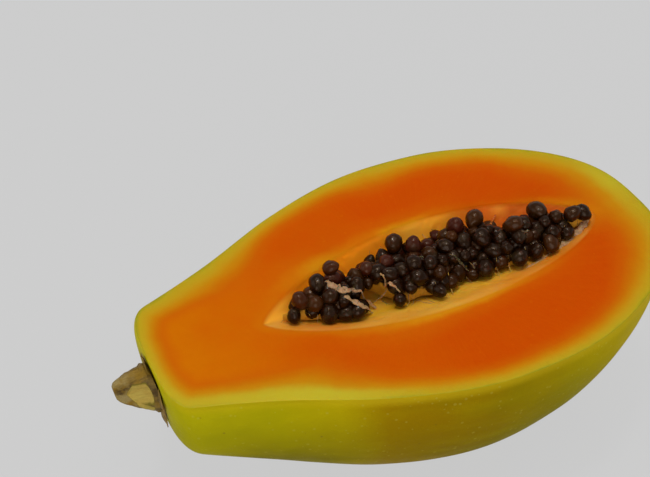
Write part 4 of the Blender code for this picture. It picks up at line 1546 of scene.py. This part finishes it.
def thread_paths():
    """Short threads from the lining to the seeds along both edges of the heap."""
    draw = random.Random(THREAD_DRAW)
    for k in range(THREADS):
        s, near, far = heap_edges((k + draw.random()) / THREADS)
        edge, inward = (near, 1) if k % 3 else (far, -1)
        qs = (edge - inward * draw.uniform(*THREAD_OUT), edge, edge + inward * THREAD_IN)
        slant = draw.uniform(-THREAD_SLANT, THREAD_SLANT)
        spots = [lining_point(s + slant * (j - 1), q)[:2] for j, q in enumerate(qs)]
        path = [(1000 * x, 1000 * y) for x, y in spots]
        yield draw.uniform(*THREAD_TONE), draw.uniform(*THREAD_WIDTH), path


def strand_lines():
    """All the paths as one mesh of edges, with the half width and tone of each point."""
    points, edges, widths, tones = [], [], [], []
    over = [(SURFACES, *film) for film in FILMS]
    foot = [(SURFACES[:2], *film) for film in (*FOOT_FILMS, *thread_paths())]
    for surfaces, tone, width, path in over + foot:
        laid = drape(path, surfaces)
        first = len(points)
        points += laid.tolist()
        edges += [(first + k, first + k + 1) for k in range(len(laid) - 1)]
        taper = np.sin(math.pi * np.linspace(*TAPERED, len(laid))) ** TAPER_POWER
        ragged = 1 + RAGGED * noise_at(laid - ORIGIN, RAGGED_SIZE)
        widths += (width / 2000 * taper * ragged).tolist()
        tones += [tone] * len(laid)
    mesh = bpy.data.meshes.new("strands")
    mesh.from_pydata(points, edges, [])
    put(mesh, "half_width", widths)
    put(mesh, "tone", tones)
    return mesh


def strand_recipe():
    """Flat ribbons along the given lines."""
    tree, given, result = recipe("torn_strands", {
        "Flat": "Float", "Waver": "Float", "Material": "Material"})
    lines = add(tree, "GeometryNodeMeshToCurve", {"Mesh": given["Geometry"]}).outputs["Curve"]
    place = add(tree, "GeometryNodeInputPosition").outputs["Position"]
    off = cloud(tree, place, *WAVER_NOISE)["Color"]
    off = scaled(tree, vector_maths(tree, "SUBTRACT", off, (0.5,) * 3), given["Waver"])
    lines = shaped(tree, "GeometryNodeSetPosition", lines, {"Offset": off})
    lines = add(tree, "GeometryNodeSetCurveNormal", {"Curve": lines}, mode="Z_UP").outputs["Curve"]
    ring = add(tree, "GeometryNodeCurvePrimitiveCircle", {
        "Resolution": STRAND_SIDES, "Radius": 1.0}).outputs["Curve"]
    thin = add(tree, "ShaderNodeCombineXYZ", {"X": 1.0, "Y": given["Flat"], "Z": 1.0})
    ring = shaped(tree, "GeometryNodeTransform", ring, {"Scale": thin.outputs["Vector"]})
    tubes = add(tree, "GeometryNodeCurveToMesh", {
        "Curve": lines, "Profile Curve": ring, "Scale": named(tree, "half_width"),
        "Fill Caps": True}).outputs["Mesh"]
    tubes = shaped(tree, "GeometryNodeSetShadeSmooth", tubes)
    tubes = shaped(tree, "GeometryNodeSetMaterial", tubes, {"Material": given["Material"]})
    tree.links.new(tubes, result)
    return tree


SURFACES = [BVHTree.FromObject(piece, bpy.context.evaluated_depsgraph_get())
            for piece in (fruit, seed_bed, seed_heap)]
strands = put_in_scene("strands", strand_lines())
print("strands:", len(strands.data.vertices), "points,", THREADS, "of the paths are threads")

# %% [markdown]
# ## Tissue of the strands
#
# The tissue is pale and pinkish where it is torn, and goes to gold and orange where it
# is still part of the wall. `tone` says which. It is a thin wet film with thinner
# places in it, so light travels under its surface and patches of it are see-through.

# %% Strand material
STRAND_TONES = ((-0.5, (0.100, 0.075, 0.035)), (0.0, (0.520, 0.300, 0.150)),
                (0.3, (0.500, 0.260, 0.100)), (0.6, (0.480, 0.260, 0.035)),
                (1.0, (0.640, 0.140, 0.012)))
STAINS, STAIN_PAINT = (310.0, 0.40, 0.20), (0.45, (0.160, 0.050, 0.020))
THIN_PLACES, THIN_ALPHA, TISSUE_GRAIN = (540.0, 0.55, 0.25), (0.30, 0.75), (700.0, 0.0003)
STRAND_FINISH = {"Roughness": 0.38, "Specular IOR Level": 0.15, "Subsurface Weight": 0.30,
                 "Subsurface Radius": (1.0, 0.35, 0.15), "Subsurface Scale": 0.0010}


def strand_material():
    made, tree, shader, place = material("strand_tissue", STRAND_FINISH)
    colour = ramp(tree, attribute(tree, "tone"), STRAND_TONES)
    stains, thin = (use(tree, PATCHES, place, *numbers) for numbers in (STAINS, THIN_PLACES))
    fill(tree, shader, {"Base Color": laid_over(tree, colour, stains, *STAIN_PAINT),
                        "Alpha": soft_step(tree, thin, 0, 1, *THIN_ALPHA),
                        "Normal": use(tree, GRAIN, place, *TISSUE_GRAIN)})
    return made


cook(strands, strand_recipe(), flat=STRAND_FLAT, waver=STRAND_WAVER, material=strand_material())
finish_piece(strands, "seeds")
print("strand faces:", len(strands.data.polygons))

# %% [markdown]
# ## The stub of the stalk
#
# The stalk was cut off at a slant, so one side shows pale wood and the rest is dry
# ridged bark that widens to a collar where it meets the fruit. The mesh is again a
# stack of rings. Each point that would lie beyond the knife's plane is drawn in along
# its radius until it lies on the plane, which leaves a flat face with a soft edge and
# tells each point how deep under the bark it is: that is stored as `wood`.

# %% Stalk mesh
STALK_TIP = np.array((-0.0138, 0.0116, -0.0150))
STALK_GAP, STALK_RIDGES, STALK_RIDGE_DEPTH = 0.0004, 5, 0.07
STALK_SHARES = (0.0, 0.10, 0.17, 0.32, 0.56, 0.80, 0.94, 1.0)
STALK_RADII = (0.0096, 0.0098, 0.0087, 0.0080, 0.0067, 0.0051, 0.0038, 0.0024)
STALK_CUT_POINT = np.array((-0.0075, 0.0062, -0.0165))
STALK_CUT_NORMAL = np.array((-0.44, -0.80, 0.40))
STALK_CUT_NORMAL /= np.linalg.norm(STALK_CUT_NORMAL)
STALK_STEPS, STALK_SIDES, STALK_END_RINGS = 90, 180, 14
STALK_EDGE_ROUND, LEAST_FACING, COLLAR_END = 0.00018, 0.02, 0.10
BARK_FURROW, FURROWS, BARK_CRACK, CRACKS = 0.00045, (5, 2.2), 0.00022, (14, 9)
BARK_STARTS = 1 / 6
WOOD_FIBRE, WOOD_FIBRES, WOOD_SUNK = 0.00010, (0.0011, (3.0, 1, 1)), 0.00045
WOOD_SUNK_SPAN, WOOD_RIM_SPAN = (0.3, 2.5), (0.2, 1.2)
FRESH_TURN, FRESH_SHARES, FRESH_ROUND = math.radians(160), (0.13, 0.70), (0.07, 0.22)
FRESH_BLUR = 0.03
LOW_EDGE_TURNS, LOW_EDGE_WOOD = (math.radians(196), math.radians(222)), 0.8


def ridged(a):
    return 1 + STALK_RIDGE_DEPTH * np.cos(STALK_RIDGES * a)


def bark_noise(share, a, around, along):
    """Noise at places of a cylinder, which closes round the stalk without a seam."""
    places = [around * np.cos(a), around * np.sin(a), np.full_like(a, along * share)]
    return noise_at(np.stack(places, axis=1), 1.0)


def fresh_share(share, a):
    """1 where the slanting cut is fresh and 0 where it has weathered, round at its ends."""
    off = (a - FRESH_TURN) ** 2
    start = FRESH_SHARES[0] + FRESH_ROUND[0] * off
    end = FRESH_SHARES[1] - FRESH_ROUND[1] * off
    return (eased_step(share, start - FRESH_BLUR, start + FRESH_BLUR)
            * (1 - eased_step(share, end - FRESH_BLUR, end + FRESH_BLUR)))


def stalk_ring(share, a, out):
    """One ring of the stalk, drawn in to the knife's plane, and how deep its wood is."""
    middle = STALK_BASE + (STALK_TIP - STALK_BASE) * share
    rough = BARK_FURROW * bark_noise(share, a, *FURROWS)
    rough += BARK_CRACK * bark_noise(share, a, *CRACKS)
    radius = np.interp(share, STALK_SHARES, STALK_RADII) * ridged(a)
    radius = radius + min(1, share / BARK_STARTS) * rough
    facing = out @ STALK_CUT_NORMAL
    to_plane = (STALK_CUT_POINT - middle) @ STALK_CUT_NORMAL
    faces_it = facing > LEAST_FACING
    over = radius - np.where(faces_it, to_plane / np.maximum(facing, LEAST_FACING), 1.0)
    eased = (over + np.sqrt(over ** 2 + STALK_EDGE_ROUND ** 2)) / 2
    row = middle + out * (radius - np.where(faces_it, eased, 0.0))[:, None]
    row[:, 0] += (stem_dimple(radius) - STALK_GAP) * max(0, 1 - share / COLLAR_END)
    wood = np.where(over > 0, 1000 * over * facing, 0.0)
    on_low_edge = (LOW_EDGE_TURNS[0] < a) & (a < LOW_EDGE_TURNS[1])
    wood = np.where(on_low_edge, np.maximum(wood, LOW_EDGE_WOOD), wood)
    return row, wood * fresh_share(share, a)


def stalk_rows():
    """Rings of points from the middle of the base to the middle of the tip."""
    a = 2 * math.pi * np.arange(STALK_SIDES) / STALK_SIDES
    out = np.stack([np.zeros_like(a), np.cos(a), np.sin(a)], axis=1)
    rows, woods = [], []
    for k in range(1, STALK_END_RINGS):
        radius = STALK_RADII[0] * ridged(a) * k / STALK_END_RINGS
        row = STALK_BASE + out * radius[:, None]
        row[:, 0] += stem_dimple(radius) - STALK_GAP
        rows.append(row)
        woods.append(np.zeros(STALK_SIDES))
    for share in np.linspace(0, 1, STALK_STEPS):
        row, wood = stalk_ring(share, a, out)
        rows.append(row)
        woods.append(wood)
    for k in range(1, STALK_END_RINGS):
        rows.append(STALK_TIP + (row - STALK_TIP) * (1 - k / STALK_END_RINGS))
        woods.append(wood)
    return rows, np.concatenate(woods)


def make_stalk():
    rows, wood = stalk_rows()
    sunk = (STALK_BASE[0] + STEM_DIMPLE_DEPTH - STALK_GAP, *STALK_BASE[1:])
    mesh = mesh_from_rings("stalk_stub", rows, sunk, tuple(STALK_TIP))
    bm = bmesh.new()
    bm.from_mesh(mesh)
    face_outwards(bm, mesh)
    wood = np.append(wood, [0, wood[-STALK_SIDES:].mean()])
    points = points_of(mesh)
    dried = (WOOD_SUNK * eased_step(wood, *WOOD_SUNK_SPAN)
             + WOOD_FIBRE * noise_at(points - ORIGIN, *WOOD_FIBRES))
    dried *= eased_step(wood, *WOOD_RIM_SPAN)
    move_points(mesh, points - STALK_CUT_NORMAL * dried[:, None])
    put(mesh, "wood", wood)
    return put_in_scene("stalk_stub", mesh)


stalk = make_stalk()
corners = points_of(stalk.data)
print("stalk:", len(corners), "points")
print_box("stalk", corners.min(axis=0), corners.max(axis=0))
print_box("plain stalk", *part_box("stalk"))

# %% [markdown]
# ## What is left of the flower
#
# Five dry teeth of the calyx stay round the stalk, close to the skin, curled up at
# their tips and lifted along one side. Each is a small leaf-shaped shell. Its place on
# the skin is found by halving along the fruit's length, just as the rims were found
# along the rays.

# %% Calyx
TOOTH_TURNS = (82, 152, 205, 262, 325)
TOOTH_LENGTHS = (0.0080, 0.0082, 0.0078, 0.0074, 0.0050)
TOOTH_ROOT, TOOTH_HALF_WIDTH, TOOTH_TWIST = 0.0088, 0.0042, 0.0010
TOOTH_THICKNESS, TOOTH_LEAST, TOOTH_CLEAR = 0.0006, 0.00012, 0.00015
TOOTH_POINT_POWER, TOOTH_NECK, TOOTH_NECK_POWER, TOOTH_THIN_TIP = 1.6, 0.25, 4, 0.6
TOOTH_CURL, TOOTH_LIFT, TOOTH_LIFT_STARTS = 0.0010, 0.0011, 0.15
TOOTH_STEPS, TOOTH_ACROSS, TOOTH_DRAW = 18, 10, 8
END_FACE_SPAN = (-0.002, 0.025)


def end_face(y, z):
    """x of the skin at the fruit's stalk end over each (y, z)."""
    low, high = (np.full_like(y, x) for x in END_FACE_SPAN)
    return halved(low, high, lambda x: outside_by(np.stack([x, y, z], axis=-1)) > 0)[1]


def tooth_sheets(turn, length, twist):
    """The inner and outer sheets of one tooth, as grids of points."""
    along = np.linspace(0, 1, TOOTH_STEPS)[:, None]
    across = np.linspace(-1, 1, TOOTH_ACROSS)[None]
    neck = 1 - TOOTH_NECK * (1 - along) ** TOOTH_NECK_POWER
    half = TOOTH_HALF_WIDTH * (1 - along ** TOOTH_POINT_POWER) * neck + TOOTH_LEAST
    reach = TOOTH_ROOT + length * along + 0 * across
    side = half * across + twist * along ** 2
    y = STALK_BASE[1] + reach * math.cos(turn) - side * math.sin(turn)
    z = STALK_BASE[2] + reach * math.sin(turn) + side * math.cos(turn)
    arch = np.sin(math.pi * np.clip(along + TOOTH_LIFT_STARTS, 0, 1))
    lifted = TOOTH_LIFT * (1 + across) / 2 * arch
    x = end_face(y, z) - TOOTH_CLEAR - TOOTH_CURL * along ** 2 - lifted
    bulge = TOOTH_THICKNESS * (1 - across ** 2) * (1 - TOOTH_THIN_TIP * along) + TOOTH_LEAST
    return np.stack([x, y, z], axis=-1), np.stack([x - bulge, y, z], axis=-1)


def make_calyx():
    draw = random.Random(TOOTH_DRAW)
    teeth = [tooth_sheets(math.radians(degrees), length, draw.uniform(-TOOTH_TWIST, TOOTH_TWIST))
             for degrees, length in zip(TOOTH_TURNS, TOOTH_LENGTHS)]
    return put_in_scene("calyx", shells("calyx", teeth))


calyx = make_calyx()
print("calyx:", len(calyx.data.polygons), "faces")

# %% [markdown]
# ## Bark, wood and withered calyx
#
# Wood that was cut days ago is straw-coloured, ringed by a thin green-brown layer just
# under the bark, and it has dried in fibres. Bark is brown with long dark streaks, and
# paler where it is dry, towards the tip. Both belong to one mesh, so one material
# chooses between them by `wood`.

# %% Stalk materials
BARK_BROWN, BARK_DARK = (0.200, 0.112, 0.006), (0.062, 0.032, 0.002)
BARK_STREAKS, BARK_SQUEEZE, BARK_DRY = (420.0, 0.45, 0.14), 0.25, (-0.004, -0.013)
LICHEN, LICHEN_LEAST, LICHEN_COLOUR = (210.0, 0.50, 0.15), 0.25, (0.255, 0.185, 0.060)
WOOD_STRAW, WOOD_GREEN = (0.400, 0.290, 0.048), (0.150, 0.115, 0.004)
WOOD_STREAKS, WOOD_SQUEEZE, WOOD_PAINT = (300.0, 0.42, 0.22), 0.3, (0.55, (0.370, 0.215, 0.036))
WOOD_WAVER, WOOD_SHIFT = (380.0, 0.50, 0.30), 0.12
WOOD_SPAN, GREEN_SPAN, WOOD_ROUGHNESS = (0.18, 0.40), (0.9, 0.45), (0.62, 0.82)
WOOD_GRAIN, WOOD_GRAIN_SQUEEZE, WOOD_FINISH = (1500.0, 0.00030), 0.35, {"Specular IOR Level": 0.25}
CALYX_BROWN, CALYX_TIP = (0.225, 0.130, 0.003), (0.110, 0.050, 0.001)
CALYX_STREAKS, CALYX_ROUGHNESS, CALYX_GRAIN = (520.0, 0.45, 0.20), (0.6, 0.8), (900.0, 0.0004)


def bark_colour(tree, place):
    streaks = use(tree, PATCHES, along_ribs(tree, place, BARK_SQUEEZE), *BARK_STREAKS)
    colour = mixed(tree, streaks, BARK_BROWN, BARK_DARK)
    dry = soft_step(tree, split(tree, place)["X"], *(ORIGIN[0] + x for x in BARK_DRY))
    strength = maths(tree, "ADD", dry, LICHEN_LEAST)
    return laid_over(tree, colour, use(tree, PATCHES, place, *LICHEN), strength, LICHEN_COLOUR)


def stalk_material():
    made, tree, shader, place = material("stalk_wood", WOOD_FINISH)
    waver = use(tree, PATCHES, place, *WOOD_WAVER)
    wood = wavered(tree, attribute(tree, "wood"), waver, WOOD_SHIFT)
    streaks = use(tree, PATCHES, along_ribs(tree, place, WOOD_SQUEEZE), *WOOD_STREAKS)
    face = laid_over(tree, WOOD_STRAW, streaks, *WOOD_PAINT)
    face = mixed(tree, soft_step(tree, wood, *GREEN_SPAN), face, WOOD_GREEN)
    colour = mixed(tree, soft_step(tree, wood, *WOOD_SPAN), bark_colour(tree, place), face)
    lengthwise = along_ribs(tree, place, WOOD_GRAIN_SQUEEZE)
    fill(tree, shader, {"Base Color": colour,
                        "Roughness": soft_step(tree, streaks, 0, 1, *WOOD_ROUGHNESS),
                        "Normal": use(tree, GRAIN, lengthwise, *WOOD_GRAIN)})
    return made


def calyx_material():
    made, tree, shader, place = material("calyx_dry", {})
    streaks = use(tree, PATCHES, place, *CALYX_STREAKS)
    fill(tree, shader, {"Base Color": mixed(tree, streaks, CALYX_BROWN, CALYX_TIP),
                        "Roughness": soft_step(tree, streaks, 0, 1, *CALYX_ROUGHNESS),
                        "Normal": use(tree, GRAIN, place, *CALYX_GRAIN)})
    return made


stalk.data.materials.append(stalk_material())
calyx.data.materials.append(calyx_material())
finish_piece(stalk, "stalk", "stalk")
finish_piece(calyx, "stalk")
print("stalk faces:", len(stalk.data.polygons))

# %% [markdown]
# ## Floor and light
#
# The fruit lies on a plain pale surface that is as bright as a light table: it hardly
# shows a shadow and sends light up onto the skin. So the floor glows, and its own
# colour is dark. A large soft lamp overhead lights the cut face, a second one from
# the front the skin, a third one from beyond the stalk the end that it is on, and a
# small one puts a glint on each seed. The sky is paler at the horizon than above, so
# that the wet flesh isn't veiled by a white reflection.

# %% Floor, lamps and sky
FLOOR_SIZE, FLOOR_GRID = 30.0, 8
FLOOR_COLOUR, FLOOR_DIM, FLOOR_TONES = (0.05,) * 3, (0.985 * 0.05,) * 3, (6.0, 0.50, 0.40)
FLOOR_FINISH = {"Emission Color": (0.555, 0.555, 0.555, 1.0), "Emission Strength": 1.0,
                "Roughness": 0.9, "Specular IOR Level": 0.1}
HORIZON, ZENITH, SKY_BLEND = (0.60, 0.60, 0.60), (0.40, 0.40, 0.40), (0.03, 0.40)
LAMPS = (("key", (0.12, 0.10, 1.30), 1.10, 5.6), ("fill", (-0.60, -1.00, 0.60), 0.90, 4.8),
         ("side", (-0.95, 0.35, 0.75), 0.80, 1.6), ("glint", (-0.05, 0.10, 1.10), 0.12, 2.6))
LAMPS_AIM = Vector((0, 0, 0.05))


def make_floor():
    bm = bmesh.new()
    bmesh.ops.create_grid(bm, x_segments=FLOOR_GRID, y_segments=FLOOR_GRID, size=FLOOR_SIZE / 2)
    mesh = bpy.data.meshes.new("floor")
    bm.to_mesh(mesh)
    bm.free()
    made, tree, shader, place = material("floor", FLOOR_FINISH)
    tones = use(tree, PATCHES, place, *FLOOR_TONES)
    fill(tree, shader, {"Base Color": mixed(tree, tones, FLOOR_COLOUR, FLOOR_DIM)})
    mesh.materials.append(made)
    put_in_scene("floor", mesh)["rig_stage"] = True


def make_lamps():
    for name, place, size, power in LAMPS:
        lamp = put_in_scene(name, bpy.data.lights.new(name, "AREA"))
        lamp.data.shape = "DISK"
        lamp.data.size = size
        lamp.data.energy = power
        aim(lamp, place, LAMPS_AIM - Vector(place))


def make_sky():
    world = bpy.data.worlds.new("sky")
    world.use_nodes = True
    tree = world.node_tree
    place = add(tree, "ShaderNodeTexCoord").outputs["Generated"]
    high = soft_step(tree, split(tree, place)["Z"], *SKY_BLEND)
    fill(tree, tree.nodes["Background"], {"Color": mixed(tree, high, HORIZON, ZENITH)})
    bpy.context.scene.world = world


make_floor()
make_lamps()
make_sky()
bpy.context.scene.view_settings.view_transform = "Standard"
print("floor", FLOOR_SIZE, "m,", len(LAMPS), "lamps")

# %% [markdown]
# ## Sizes
#
# The last cell prints the box of the finished pieces.

# %% Finish
visual_box = [list(corner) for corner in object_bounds()]
print("finished box", [[round(v, 4) for v in corner] for corner in visual_box])
